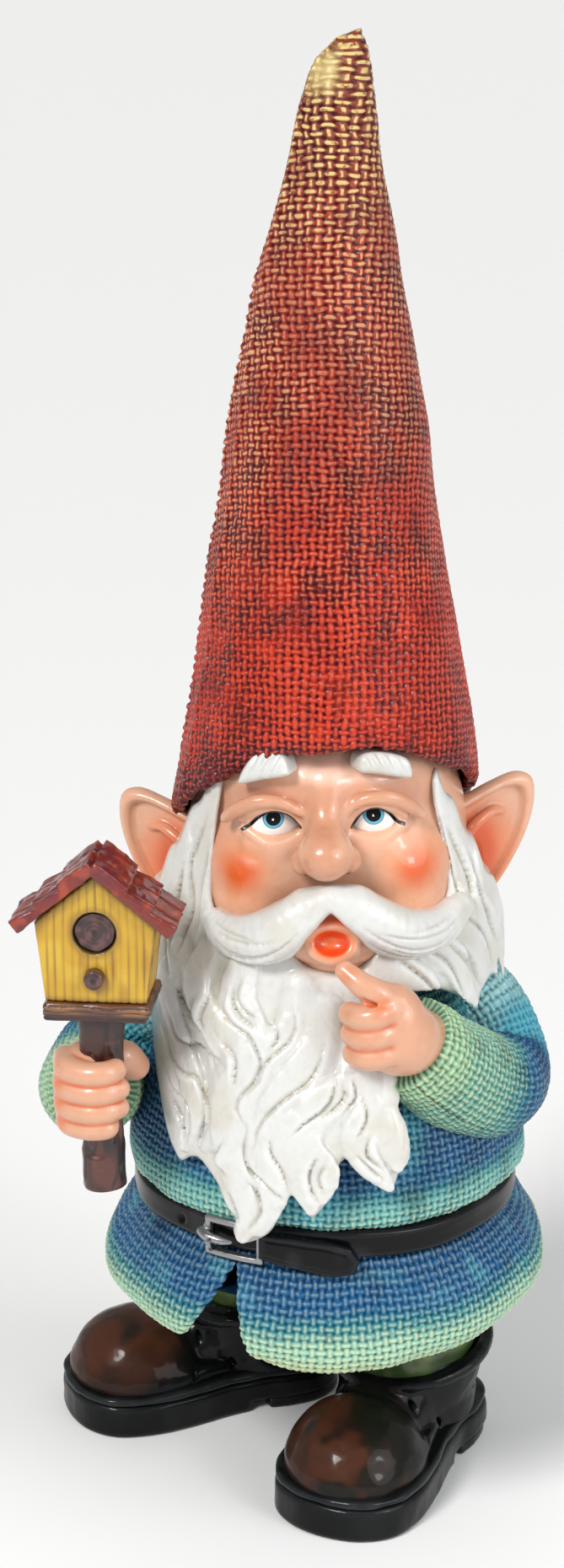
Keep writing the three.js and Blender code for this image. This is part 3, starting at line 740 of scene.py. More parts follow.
def hat_paint(verts, patch):
    """The hat's paint, the tones of its holes and threads, and how much of the threads' tone shows."""
    z = verts[:, 2]
    blotch = lumps(verts, 9, 11) * 0.6 + lumps(verts, 4, 12) * 0.4
    blotch = blotch + 0.35 * lumps(verts, 1.8, 17)
    red = mix(colour(170, 32, 13), colour(116, 22, 17), step(0.0, 0.6, blotch))
    red = mix(red, colour(196, 48, 20), step(0.05, 0.5, -blotch) * step(300, 250, z))
    dull = mix(colour(164, 50, 32), colour(122, 38, 32), step(-0.2, 0.6, blotch))
    streaks = lumps(verts * (1, 1, 0.35), 1.5, 19)
    red = mix(red, colour(92, 18, 16), 0.55 * step(0.15, 0.7, streaks))
    paint = mix(red, dull, step(268, 330, z))
    paint = mix(paint, colour(136, 58, 36), step(335, 385, z))
    brim = z - BRIM_Z - BRIM_SLANT * 40 * np.clip(-verts[:, 1] / 40, -1, 1) * np.clip((300 - z) / 80, 0, 1)
    paint = mix(paint, colour(78, 16, 30), 0.85 * step(5.5, 0.5, brim + 2.5 * lumps(verts, 5, 16)))
    deep = mix(colour(70, 8, 12), colour(84, 20, 22), step(280, 350, z))
    deep = layered(
        deep,
        (colour(56, 14, 26), step(-0.1, 0.5, lumps(verts, 13, 14))),
        (paint, 0.55 * step(0.0, 0.6, lumps(verts, 6, 18)) * step(300, 260, z)),
    )
    tips = mix(colour(204, 74, 42), colour(216, 164, 116), step(246, 306, z))
    tips = mix(tips, colour(216, 192, 124), step(330, 372, z))
    side = step(0.35, 0.95, -verts[:, 0] / np.maximum(np.hypot(verts[:, 0], verts[:, 1]), 1))
    brush = 0.7 + 0.3 * step(330, 375, z) + 0.3 * side * step(230, 300, z)
    brush *= 0.35 + 0.65 * step(-0.7, 0.5, lumps(verts, 11, 15) + 0.5 * step(320, 370, z))
    brush *= 1 - 0.5 * step(262, 285, z) * step(318, 296, z) * (1 - side)
    tips = mix(tips, colour(218, 198, 138), patch)
    paint = mix(paint, colour(204, 178, 118), patch)
    return dict(Paint=paint, Under=mix(deep, paint, patch), Tips=tips, Brush=np.clip(brush, 0, 1))


def make_hat():
    columns, rows = ((366, 262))
    angle = np.linspace(0, 2 * np.pi, columns, endpoint=False) + np.pi / 2
    lining = BRIM_Z + LINING_HEIGHT * (1 - np.linspace(0, 1, LINING_ROWS))
    shell = BRIM_Z + (HAT_TOP - 1 - BRIM_Z) * np.linspace(0, 1, rows)
    heights = np.concatenate([lining, shell])
    inside = np.arange(len(heights)) < LINING_ROWS
    z, a = np.meshgrid(heights, angle, indexing="ij")
    size = levels(z, HAT_LEVELS)
    edge = np.maximum(0, 2.2 - (z - BRIM_Z))
    r = size[..., 0] - 0.55 * edge**1.5 / 2.2**0.5
    r = np.where(inside[:, None], size[..., 0] - 3.6 + 0.2 * edge**1.5, r)
    rise = (
        size[..., 0] * (0.12 * np.cos(a) - BRIM_SLANT * np.sin(a))
        - 4.0 * step(0.25, 0.75, np.cos(a))
        - 3.0 * step(0.5, 0.95, -np.cos(a))
    )
    rise *= np.clip((300 - z) / 96.5, 0, 1)
    r = r + 1.8 * step(0.5, 1, -np.cos(a)) * step(222, 203, z)
    p = np.stack([size[..., 1] + r * np.cos(a), r * np.sin(a), z + rise], axis=-1)
    loose = lumps(p, 17, 1) * 0.7 + lumps(p * (1, 1, 0.35), 7, 2) * 0.45
    loose = loose * np.clip(r / 20, 0.3, 1)
    loose += 0.7 * bell(np.abs(a - np.pi), 0.42, 0.05) + 0.9 * bell(np.abs(a - np.pi / 2), 0, 0.03)
    fray = lumps(p, 2.6, 5) * step(7, 0, z - BRIM_Z) * 1.3
    stitches = np.abs(np.sin(z * np.pi / 2.5 + 1.5 * lumps(p, 9, 8))) ** 0.6
    seam = 1.1 * bell(a, np.pi, 0.07) * stitches * step(212, 222, z) * step(350, 335, z)
    loose += seam
    p[..., 2] += np.where(z < BRIM_Z + 4, fray, 0) - 1.1 * step(386, 399, z) * (1 - np.cos(a))
    push_round(p, loose, a)
    verts, quads = p.reshape(-1, 3), grid(len(heights), columns)
    verts, under = fan(verts, np.arange(columns), flip=True)
    verts, tip = fan(verts, np.arange(columns) + (len(heights) - 1) * columns)

    across, along, lean = hat_weave(verts)
    from_patch = np.linalg.norm((verts - (-4.0, -7.0, 391.0)) * (1, 1, 0.75), axis=1)
    patch = step(8.5, 3.5, from_patch + 1.5 * lumps(verts, 4, 9))
    outer = np.ones(len(verts))
    outer[: LINING_ROWS * columns] = 0
    outer[-2:] = 0
    out = pushed(verts, quads, 0.32 * (weave(across, along, lean) - 0.1) * outer * (1 - 0.8 * patch))
    paints = hat_paint(verts, patch)
    faces = [quads, under, tip]
    piece("gnome_hat", out, faces, "hat", "hat", "hat", Across=across, Along=along, Lean=lean, **paints)


# ---- Head ---------------------------------------------------------------------------------------

PEACH = colour(224, 171, 141)
SIGN = {"right": -1, "left": 1}  # the side of the figure that X points to
EYES = {"right": np.array([-14.6, -25.6, 204.0]), "left": np.array([11.6, -25.6, 205.0])}
EYE_R = 8.6
GAZE = {"right": (-14.2, 205.8), "left": (11.3, 206.9)}
# The opening between the lids, clockwise from its inner corner, seen from the front.
LIDS = {
    "right": [
        [-7.4, 203.5], [-10.4, 206.8], [-14.2, 207.9], [-17.6, 206.4], [-20.2, 203.6], [-18.0, 202.0],
        [-14.4, 201.3], [-10.4, 201.7],
    ],
    "left": [
        [5.8, 203.6], [8.2, 207.2], [11.4, 208.8], [14.8, 207.6], [17.2, 204.8], [15.0, 203.0],
        [11.6, 202.3], [8.4, 202.5],
    ],
}
LASHES = {
    "right": [*LIDS["right"][:4], [-20.3, 203.5], [-22.2, 202.3]],
    "left": [*LIDS["left"][:4], [17.3, 204.7], [19.2, 203.7]],
}
NOSE = (-0.9, -44.6, 199.4)


def ring_track(points, count=40):
    """A smooth closed curve through a few points."""
    p = np.asarray(points, float)
    at = np.linspace(0, len(p), count, endpoint=False)
    k = at.astype(int)
    t = (at - k)[:, None]
    a, b, c, d = (p[(k + i) % len(p)] for i in (-1, 0, 1, 2))
    return 0.5 * (2 * b + (c - a) * t + (2 * a - 5 * b + 4 * c - d) * t**2 + (3 * b - a - 3 * c + d) * t**3)


def line_distance(points, x, z):
    """Distance in the plane from an open curve."""
    p = track(points, 24)
    best = np.full(np.shape(x), 1e9)
    for a, b in zip(p[:-1], p[1:]):
        e = b - a
        h = np.clip(((x - a[0]) * e[0] + (z - a[1]) * e[1]) / (e @ e), 0, 1)
        best = np.minimum(best, np.hypot(x - a[0] - h * e[0], z - a[1] - h * e[1]))
    return best


def sculpt_lids(clay, side):
    """An eye's socket, its lids and the folds round them, and the opening between the lids."""
    eye = EYES[side]
    s = SIGN[side]
    x, z = eye[0], eye[2]
    clay.cut(ball((x + 1.2 * s, -39.2, z - 0.2), (9.6, 4.8, 5.0)), 3.5)
    clay.add(ball(eye, EYE_R + 0.9), 2.2)
    fold = [
        [x - 6.8 * s, -36.2, z + 4.4, 1.0], [x - 2.5 * s, -36.9, z + 6.9, 1.5],
        [x + 3.5 * s, -36.2, z + 7.1, 1.8], [x + 8.6 * s, -33.6, z + 4.4, 1.9],
        [x + 11.8 * s, -31.0, z + 1.2, 1.5],
    ]
    clay.add(limb(fold), 1.0)
    lid = [
        [x - 7.0 * s, -34.0, z + 0.4, 0.7], [x - 4.2 * s, -34.9, z + 3.6, 1.2],
        [x, -35.0, z + 5.0, 1.4], [x + 4.4 * s, -34.2, z + 4.0, 1.3],
        [x + 8.0 * s, -31.8, z + 1.0, 0.8],
    ]
    clay.add(limb(lid), 0.7)
    lower = [
        [x - 7.6 * s, -34.0, z - 1.6, 0.8], [x - 3.6 * s, -34.9, z - 4.0, 1.1],
        [x + 1.5 * s, -34.7, z - 4.5, 1.1], [x + 7.8 * s, -31.8, z - 1.4, 0.8],
    ]
    clay.add(limb(lower), 0.9)
    bag = [
        [x - 6.6 * s, -34.6, z - 4.4, 0.9], [x - 1.0 * s, -34.9, z - 7.2, 1.2],
        [x + 6.2 * s, -32.2, z - 5.6, 1.0],
    ]
    clay.add(limb(bag), 2.4)
    clay.cut(slab(ring_track(LIDS[side]), -70, -25.0), 0.4)
    clay.add(ball(eye, EYE_R - 0.6), 0.0)


def face_paint(verts, quads):
    x, y, z = verts.T
    paint = np.tile(PEACH, (len(verts), 1))
    front = step(-10, -26, y)
    tan = colour(206, 146, 114)
    from_nose = np.linalg.norm((verts - NOSE) * (0.9, 0.6, 0.9), axis=1)
    paint = mix(paint, paint * 0.94, front)
    paint = layered(
        paint,
        (tan, 0.95 * front * bell(z, 210.5, 5.5) * step(32, 18, np.abs(x))),
        # painted light: lighter pink on the forehead between the brows, against the shadow of the hat's
        # brim
        (colour(238, 196, 174), 0.8 * front * step(215, 219, z) * step(12, 6, np.abs(x + 1))),
        # painted light: lighter paint low on the face, above the moustache, against the moustache's shadow
        (colour(242, 184, 150), 0.7 * front * step(188, 183, z)),
        (colour(200, 142, 112), 0.8 * step(11.5, 5.5, from_nose)),
        (tan, 0.6 * front * step(7, 3, np.abs(x + 0.8)) * bell(z, 207, 8)),
    )
    for cx, cz in ((-22.6, 191.4), (22.4, 192.6)):
        away = np.hypot((x - cx) * 0.95, z - cz)
        paint = layered(
            paint,
            (colour(222, 134, 82), 0.6 * front * step(12.0, 4.0, away)),
            (colour(216, 88, 18), 0.95 * front * step(7.2, 1.0, away)),
        )
    for eye in EYES.values():
        away = np.hypot((x - eye[0]) / 1.5, z - eye[2] - 0.5)
        paint = mix(paint, colour(232, 182, 152), 0.8 * front * step(8, 4.5, away))
    paint = layered(
        paint,
        # painted light: the forehead made lighter against the brim's shadow, with a painted highlight in
        # its middle
        (colour(236, 192, 168), 0.75 * front * step(215, 219.5, z)),
        (colour(244, 196, 176), 0.7 * front * step(9, 2, np.hypot(x + 2, (z - 221) * 1.3))),
    )
    # painted shade: darker brown in the face's creases and hollows, on its front
    crease = hollow(verts, quads, 14)
    paint = mix(paint, colour(176, 98, 66), 1.1 * step(0.05, 0.5, crease) * front)
    # painted shade: dark paint in the nostrils
    nostrils = np.minimum(np.hypot(x + 5.2, z - 193.8), np.hypot(x - 3.6, z - 194.2))
    paint = mix(paint, colour(120, 56, 40), step(1.9, 0.8, nostrils) * (y < -41))
    return paint


def make_head():
    clay = Clay((-42, -58, 148), (42, 40, 242), 0.56)
    clay.add(ball((0, 0.5, 196), (36.5, 34.5, 40.5)))
    clay.add(ball((0.5, -9, 192), (34, 27.5, 28)), 6)
    clay.add(ball((0.5, -1, 194), (35, 29.5, 29)), 4)
    clay.add(ball((-0.5, -14, 214), (29, 22.5, 13)), 8)
    clay.add(ball((-17.5, -20, 190.0), (13.5, 16.5, 10.5)), 7)
    clay.add(ball((17.0, -20, 191.0), (14, 16.5, 10.5)), 7)
    clay.add(ball((-19.5, -19.5, 181.5), (11.5, 15.0, 9.5)), 6)
    clay.add(ball((20.0, -19.5, 182.0), (11.5, 15.0, 9.5)), 6)
    clay.add(ball((1.0, -33, 173), (12.5, 12.5, 8.5)), 6)
    clay.add(limb([[0, 4, 152, 23], [0, 4, 168, 24]]), 6)
    for side in EYES:
        sculpt_lids(clay, side)
    clay.add(limb([[-0.8, -33.5, 215, 4.4], [-0.9, -37.0, 207, 4.4], [-0.9, -41.5, 201, 5.0]]), 4)
    clay.add(ball(NOSE, (7.2, 7.4, 6.4)), 2.8)
    clay.add(ball((-6.5, -41.0, 196.6), (3.3, 4.6, 3.5)), 1.6)
    clay.add(ball((4.8, -41.0, 197.1), (3.3, 4.6, 3.5)), 1.6)
    clay.cut(ball((-5.4, -46.2, 193.2), (1.7, 2.6, 1.7)), 0.9)
    clay.cut(ball((3.8, -46.2, 193.6), (1.7, 2.6, 1.7)), 0.9)
    verts, quads = clay.skin(1)
    x, y, z = verts.T
    line = np.full(len(verts), 9.0)
    for lash in LASHES.values():
        line = np.where(y < -26, np.minimum(line, line_distance(lash, x, z - 0.3)), line)
    skin_piece("gnome_head", verts, quads, "head", "skin", face_paint(verts, quads), line)


def make_eyes():
    for side, centre in EYES.items():
        rings, columns = 56, 96
        polar = np.linspace(0.01, np.pi - 0.01, rings)[:, None]
        around = np.linspace(0, 2 * np.pi, columns, endpoint=False)[None]
        direction = np.stack(
            [np.sin(polar) * np.cos(around), -np.cos(polar) + 0 * around, np.sin(polar) * np.sin(around)],
            axis=-1,
        )
        verts = (centre + EYE_R * direction).reshape(-1, 3)
        quads = grid(rings, columns)[:, ::-1]
        verts, first = fan(verts, np.arange(columns))
        verts, last = fan(verts, np.arange(columns) + (rings - 1) * columns, flip=True)
        gx, gz = GAZE[side]
        behind = np.where(verts[:, 1] > centre[1], 99, 0)
        around_gaze = np.hypot(verts[:, 0] - gx, (verts[:, 2] - gz) * 1.04) + behind
        glint = np.hypot(verts[:, 0] - gx + 0.1, verts[:, 2] - gz + 0.2) + behind
        lashes = line_distance(LASHES[side], verts[:, 0], verts[:, 2])
        piece(
            f"gnome_{side}_eye", verts, [quads, first, last], f"{side}_eye", "eyes", "eye",
            Rings=around_gaze, Glint=glint, Line=lashes,
        )


def make_lips():
    clay = Clay((-14, -56, 161), (16, -28, 190), 0.34)
    clay.add(ball((1.2, -39.0, 175.0), (12.6, 8.6, 7.2)))
    clay.add(limb([[0.2, -42.0, 185.0, 3.2], [0.6, -42.4, 179, 5.4]]), 3)
    lower_lip = [[-5.6, -45.2, 178.0, 1.5], [-3.6, -46.8, 174.6, 1.8], [0.8, -47.6, 173.0, 1.9],
                 [5.2, -46.8, 174.6, 1.8], [7.0, -45.0, 178.0, 1.5]]
    clay.add(limb(lower_lip), 1.6)
    upper_lip = [[-5.6, -45.2, 178.0, 1.4], [-2.6, -46.4, 180.8, 1.3], [0.4, -46.6, 181.8, 1.3],
                 [4.0, -46.2, 180.8, 1.3], [7.0, -45.0, 178.0, 1.4]]
    clay.add(limb(upper_lip), 1.2)
    clay.cut(ball((0.6, -49.4, 177.2), (4.9, 4.2, 3.2)), 0.9)
    verts, quads = clay.skin(2)
    x, z = verts[:, 0], verts[:, 2]
    away = np.hypot((x - 0.6) / 4.6, (z - 177.1) / 3.3)
    paint = np.tile(PEACH, (len(verts), 1))
    paint = layered(
        paint,
        (colour(226, 150, 116), step(173.5, 169, z) * 0.5),
        # painted shadow: deep red-brown on the upper lip, under the moustache
        (colour(214, 96, 62), step(1.25, 1.7, away) * step(178.6, 180.8, z)),
        (colour(228, 146, 106), step(1.45, 1.15, away)),
        (colour(222, 74, 20), step(1.12, 0.9, away)),
        (colour(240, 122, 60), 0.7 * step(0.55, 0.2, np.hypot((x - 0.2) / 4.9, (z - 176.6) / 3.7))),
        # painted shade: darker brown in the creases round the mouth
        (colour(150, 82, 54), step(0.05, 0.35, hollow(verts, quads, 12)) * step(1.0, 1.2, away)),
    )
    skin_piece("gnome_lips", verts, quads, "lips", "lips", paint)


def make_ears():
    for side, s in SIGN.items():
        axes = turn(yaw=24 * s)
        root = (34.5 * s, -4.5, 184.5 + 2.25 * s)
        leaf = [
            [-3, 12.5], [3, 16.6], [8, 18.8], [13, 20.2], [16.8, 18.4], [17.4, 12], [15.6, 4.5],
            [12.4, -2.5], [8, -9.5], [3, -13.8], [-2, -11], [-4, 0],
        ]
        outline = [[(1.22 * u + 1.5) * s, 1.06 * w - 0.8] for u, w in ring_track(leaf, 36)]
        clay = Clay(np.array(root) - (26, 14, 20), np.array(root) + (26, 14, 24), 0.46)
        clay.add(slab(outline, -2.9, 2.9, 2.6, axes=axes, centre=root))
        inner = [[u * 0.8 + 1.0 * s, w * 0.82 + 0.4] for u, w in outline]
        clay.cut(slab(inner, -12, -0.4, 1.2, axes=axes, centre=root), 2.4)

        def at(u, v, w, r, s=s, axes=axes, root=root):
            return [*(np.array(root) + u * s * axes[0] + v * axes[1] + w * axes[2]), r]

        fold = [
            at(0, -2.4, 3.5, 1.5), at(4.5, -2.6, 8.4, 1.5), at(9.5, -1.9, 11, 1.2),
            at(13, -0.6, 10.4, 0.9),
        ]
        clay.add(limb(fold), 1.4)
        clay.add(limb([at(0, -2.8, -4, 1.7), at(2.2, -3.2, -8, 1.8), at(4.8, -2.2, -10.4, 1.4)]), 1.6)
        clay.cut(ball(at(4.4, -2.4, -1.2, 1)[:3], (3.4, 3.8, 5.2), axes), 1.4)
        clay.add(limb([at(-5, 2, 3, 6), at(-1, 1.2, 1, 4)]), 3)
        verts, quads = clay.skin(2)
        q = (verts - root) @ axes.T
        u, v, w = q[:, 0] * s, q[:, 1], q[:, 2]
        paint = np.tile(PEACH, (len(verts), 1))
        inside = step(1.2, -0.2, v)
        from_hollow = np.hypot((u - 6.0) * 1.1, (w + 0.5) * 0.7)
        paint = layered(
            paint,
            (colour(224, 126, 78), 0.9 * inside * step(14, 5, np.hypot(u - 7.0, (w - 1) * 0.8))),
            (colour(216, 84, 24), 0.98 * inside * step(9.0, 3.5, from_hollow)),
            # painted shade: darker brown in the ear's creases
            (colour(178, 100, 70), step(0.06, 0.5, hollow(verts, quads, 14))),
        )
        skin_piece(f"gnome_{side}_ear", verts, quads, f"{side}_ear", "skin", paint)


# ---- Hair ---------------------------------------------------------------------------------------

BEARD_LEVELS = [  # height, half width, half depth and the middle's y
    [96, 56, 62, -2], [118, 53.5, 60, -2], [140, 50.5, 54.5, -0.5], [165, 47.5, 46.5, 0],
    [182, 45.6, 42.6, 1], [200, 43.4, 40.4, 2], [215, 40.5, 38.6, 2], [230, 36, 36, 2],
]


def over_hair(x, z, lift=0.0):
    """The point of the hair's surface in front, at x and z."""
    rx, ry, y0 = np.moveaxis(levels(np.asarray(z, float), BEARD_LEVELS), -1, 0)
    sine = np.clip(np.asarray(x, float) / (rx + lift), -0.985, 0.985)
    return np.stack(
        [sine * (rx + lift), y0 - (ry + lift) * np.sqrt(1 - sine**2), np.asarray(z, float)], axis=-1,
    )


def around_hair(degrees, z, lift=0.0):
    """The point of the hair's surface at degrees from the front, towards the figure's left."""
    rx, ry, y0 = np.moveaxis(levels(np.asarray(z, float), BEARD_LEVELS), -1, 0)
    a = np.radians(degrees)
    return np.stack([(rx + lift) * np.sin(a), y0 - (ry + lift) * np.cos(a), np.asarray(z, float)], axis=-1)


def outward(p):
    return unit(np.array([p[0], p[1] - 1.0, 0.0]) + 1e-9)


def hair_shell(clay, table):
    """The clay's grid, and its distance from the upright oval that a table gives, negative inside."""
    _, (x, y, z) = clay.near(clay.low, clay.low + clay.spacing * clay.count)
    size = levels(z[0, 0], table)
    rx, ry, y0 = (size[:, k][None, None] for k in range(3))
    reach = np.sqrt((x / rx) ** 2 + ((y - y0) / ry) ** 2)
    return x, y, z, (reach - 1) * np.minimum(rx, ry)


def lock(clay, points, width, seed, flat, blend, tip=0.12, root=0.5):
    """Lays a strand of hair along a curve of points, tapering to its tip."""
    rng = np.random.RandomState(seed + 40)
    p = track(points, 16)
    t = np.linspace(0, 1, len(p))
    along = unit(np.gradient(p, axis=0))
    normal = np.array([outward(q) for q in p])
    across = unit(np.cross(along, normal))
    shape = np.minimum(step(-0.25, 0.3, t) * (1 - root) + root, (1 - t**2.6) * (1 - tip) + tip)
    sway = 0.0625 * width * np.sin(2 * np.pi * (t * rng.uniform(0.9, 1.5) + rng.rand()))
    q = p + across * sway[:, None] + normal * rng.uniform(-0.3, 0.3)
    strand = np.column_stack([q, np.clip(0.58 * width * shape, 0.3, 9)])
    twist = rng.rand() * 6
    clay.add(limb(strand, flat, outward, grooves=4, depth=0.08, twist=twist, count=16, reach=2.5), blend)


def comb(verts, quads, depth=0.22):
    """Presses fine wavy hairs into a surface, running down it."""
    x, y, z = verts.T
    drift = 3.0 * np.sin(z / 8.5 + x * 0.12) + 1.2 * np.sin(z / 3.7 + y * 0.2)
    flow = np.stack([x + drift, y, z * 0.12], axis=-1)
    ridges = np.abs(lumps(flow, 2.0, 23)) + 0.5 * np.abs(lumps(flow, 1.0, 24))
    return pushed(verts, quads, -(depth * bell(ridges, 0, 0.22)))


BEARD_LOCKS = [  # width, then the curve's x and z
    (9, [[-38, 168], [-42, 157], [-40, 147], [-36, 137.5], [-35, 128.5], [-37.5, 120]]),
    (10, [[-31, 170], [-33.5, 162], [-32, 155], [-28, 149], [-28, 140], [-28, 130], [-32, 122]]),
    (12, [[-22, 168], [-23, 160], [-20, 152], [-20, 145], [-26, 136], [-27, 126], [-24, 116], [-21, 107],
          [-22, 101]]),
    (11, [[-8, 164], [-9, 155], [-13, 148], [-20, 139], [-20.5, 131], [-15, 122], [-13.5, 113],
          [-18, 104]]),
    (10, [[0, 160], [-1.5, 150], [-9, 141], [-14, 134], [-11.5, 126], [-7, 118], [-4.6, 110.5]]),
    (10, [[7, 150], [5, 141], [-3, 135], [-6, 127], [-1, 120], [-1.5, 113.5]]),
    (9, [[13, 146], [13, 136], [8, 129], [9.5, 122], [15.5, 115.5]]),
    (8, [[16, 132], [17, 126], [17.6, 120]]),
    (9, [[13.5, 172], [20, 167], [27, 162]]),
    (9, [[24, 174], [32, 167], [38.5, 155]]),
    (9, [[36, 182], [42, 173], [45, 163]]),
]
BEARD_OUTLINE = [
    [-34, 217], [-41, 186], [-46, 166], [-47.5, 150], [-47, 137], [-44.5, 126], [-42, 117.5],
    [-38.5, 113.5], [-34.5, 116.5], [-31, 114], [-28.5, 111], [-26, 106.5], [-24, 103], [-24.8, 99.5],
    [-22.8, 97.2], [-19.5, 98.2], [-15, 101.5], [-12.2, 107], [-10, 112], [-7, 112], [-6, 108],
    [-4, 106.5], [-1, 110], [1, 113.5], [2, 119], [4.5, 122], [8, 118.5], [12, 115], [15.5, 113],
    [17.5, 115], [18.5, 121], [17, 129], [15, 138], [12, 150], [18, 163], [26, 161], [33, 157], [39, 151],
    [41.5, 155], [46, 159], [47, 167], [45, 184], [37, 217],
]
BEARD_CREASES = [  # each runs down the beard: x and z
    [[-43, 146], [-41.5, 140], [-38.5, 138], [-34.5, 138.5], [-32, 134.5], [-31.5, 129.5],
     [-33, 124.5], [-34, 119]],
    [[-41.5, 152], [-39.5, 147], [-36, 146], [-31, 145.5], [-29, 143]],
    [[-39.5, 158], [-38.5, 155], [-36, 152], [-33.5, 149.5], [-32, 147]],
    [[-33.5, 160], [-35.5, 155.5], [-35, 152.5], [-33.5, 150.5], [-30, 146], [-27, 144.5]],
    [[-30.5, 161], [-33.5, 154], [-32, 150.5]],
    [[-26, 161.5], [-27, 157.5], [-24.5, 154.5], [-20.5, 152.5], [-18, 148.5], [-17.5, 145],
     [-19.5, 140.5], [-22.5, 137.5], [-23.5, 134], [-21.5, 130.5]],
    [[-24.5, 164], [-25, 159.5], [-23, 156.5], [-19, 154.5]],
    [[-22.5, 165], [-23.5, 161], [-21.5, 158.5], [-19, 157.5]],
    [[-27.5, 149], [-24.5, 146.5], [-24.5, 142], [-25, 139]],
    [[-9, 159], [-8.5, 155.5], [-10.5, 151.5], [-14, 148.5], [-17, 145], [-18, 141.5], [-22, 137.5]],
    [[-14, 155], [-13.5, 152.5], [-15.5, 149.5]],
    [[-1, 151.5], [-2.5, 147], [-5, 142.5], [-10.5, 138.5], [-15.5, 134], [-18, 130], [-19, 126]],
    [[1.5, 144.5], [1, 140.5], [-1, 136.5], [-6.5, 132.5], [-10.5, 129]],
    [[3.5, 143], [4, 139], [1.5, 135.5], [-2.5, 133.5]],
    [[6, 143], [6.5, 139], [4, 135.5]],
    [[-21, 129.5], [-21.5, 123.5], [-20, 119.5], [-16, 116.5], [-11, 112.5]],
    [[-15.5, 128], [-15, 124], [-12.5, 120.5], [-10.5, 115]],
    [[-27.5, 125], [-29.5, 121], [-29, 118.5], [-26.5, 117.5]],
    [[-26, 112], [-25, 108.5], [-23.5, 105]],
    [[-21, 117], [-18, 113.5], [-17.5, 108.5], [-21, 103]],
    [[-3, 125], [-5, 120.5], [-4.5, 115.5], [-2.5, 112]],
    [[-1, 122.5], [-2.5, 119], [-1.5, 115]],
    [[6.5, 124.5], [10, 121], [14, 117.5]],
    [[10.5, 129], [10, 124.5], [14, 120.5]],
    [[-41, 129.5], [-38.5, 125.5], [-38, 121.5]],
    [[-43, 136.5], [-40.5, 132], [-37, 131.5], [-36, 127], [-37, 120]],
    [[8, 139], [9.5, 134], [7, 129]],
    [[18, 171], [24, 166], [29, 159]],
    [[24, 173], [31, 167], [36, 156]],
    [[30, 174], [37, 166], [40.5, 157]],
    [[35, 178], [41, 170], [43.5, 161]],
    [[38, 186], [42, 177], [45, 167]],
    [[-31.5, 203], [-36, 190], [-36, 178], [-40, 166]],
    [[-30.5, 196], [-33, 184], [-34, 174]],
    [[-37.5, 190], [-40, 178], [-41, 168]],
    [[-41, 181], [-42.5, 172], [-41.5, 160]],
    [[27.5, 206], [31, 192], [34, 182], [36, 175]],
    [[31, 201], [36, 189], [38.5, 179]],
    [[36, 193], [40, 182], [43, 173]],
]
FACE_WINDOW = [
    [-25, 230], [-26.8, 214], [-28.6, 203], [-30, 190], [-29.6, 180], [-24, 175], [-13, 174],
    [-9.5, 172.5], [-5, 168.6], [1.5, 167.0], [8, 168.4], [11.5, 172.6], [15, 174], [23, 177], [30, 182],
    [31, 190], [28.6, 200], [26.4, 211], [24, 230],
]
WHITE = colour(212, 213, 210)


def hair_paint(verts, quads, strength=1.0):
    crease = hollow(verts, quads, 12)
    paint = mix(WHITE, colour(205, 203, 194), step(-0.3, 0.6, lumps(verts, 8, 21)))
    # painted shade: grey-brown in the hair's creases, as strong as strength gives
    paint = layered(
        paint,
        (colour(192, 184, 160), 0.6 * strength * step(0.05, 0.5, crease)),
        (colour(158, 144, 116), 0.6 * strength * step(0.4, 1.1, crease)),
    )
    # painted highlight: lighter white on the hair's crests
    return mix(paint, colour(222, 223, 222), 0.6 * step(0.02, 0.3, -crease))


def hair_piece(part, verts, quads, strength=1.0):
    paint = hair_paint(verts, quads, strength)
    piece(f"gnome_{part}", verts, quads, part, "hair", "hair", Paint=paint)


def creased(verts, quads, curves, width=0.6, depth=1.0, overlap=1.0):
    """Presses creases into the front of a surface, one bank of each standing over the other."""
    n = normals(verts, quads)
    x, z = verts[:, 0], verts[:, 2]
    press = np.zeros(len(verts))
    for number, curve in enumerate(curves):
        c = track(curve, 5 * len(curve))
        near = np.flatnonzero(
            (x > c[:, 0].min() - 5)
            & (x < c[:, 0].max() + 5)
            & (z > c[:, 1].min() - 5)
            & (z < c[:, 1].max() + 5)
            & (n[:, 1] < 0.1)
        )
        p, best = np.stack([x[near], z[near]], axis=-1), np.full(len(near), 1e9)
        bank, place = np.zeros(len(near)), np.zeros(len(near))
        for k, (q0, q1) in enumerate(zip(c[:-1], c[1:])):
            e, d = q1 - q0, p - q0
            h = np.clip(d @ e / (e @ e), 0, 1)
            away = np.linalg.norm(d - h[:, None] * e, axis=1)
            closer = away < best
            best = np.where(closer, away, best)
            bank = np.where(closer, np.sign(e[0] * d[:, 1] - e[1] * d[:, 0]), bank)
            place = np.where(closer, (k + h) / (len(c) - 1), place)
        fade = np.clip(np.sin(np.pi * np.clip(place, 0.02, 0.98)), 0, 1) ** 0.6
        side = bank * (1 if number % 2 else -1)
        swell = np.where(side > 0, overlap * np.exp(-best / 2.4), -0.5 * overlap * np.exp(-best / 1.6))
        press[near] += fade * (swell - depth * bell(best, 0, width))
    return verts + n * np.clip(press, -2.0, 1.6)[:, None]


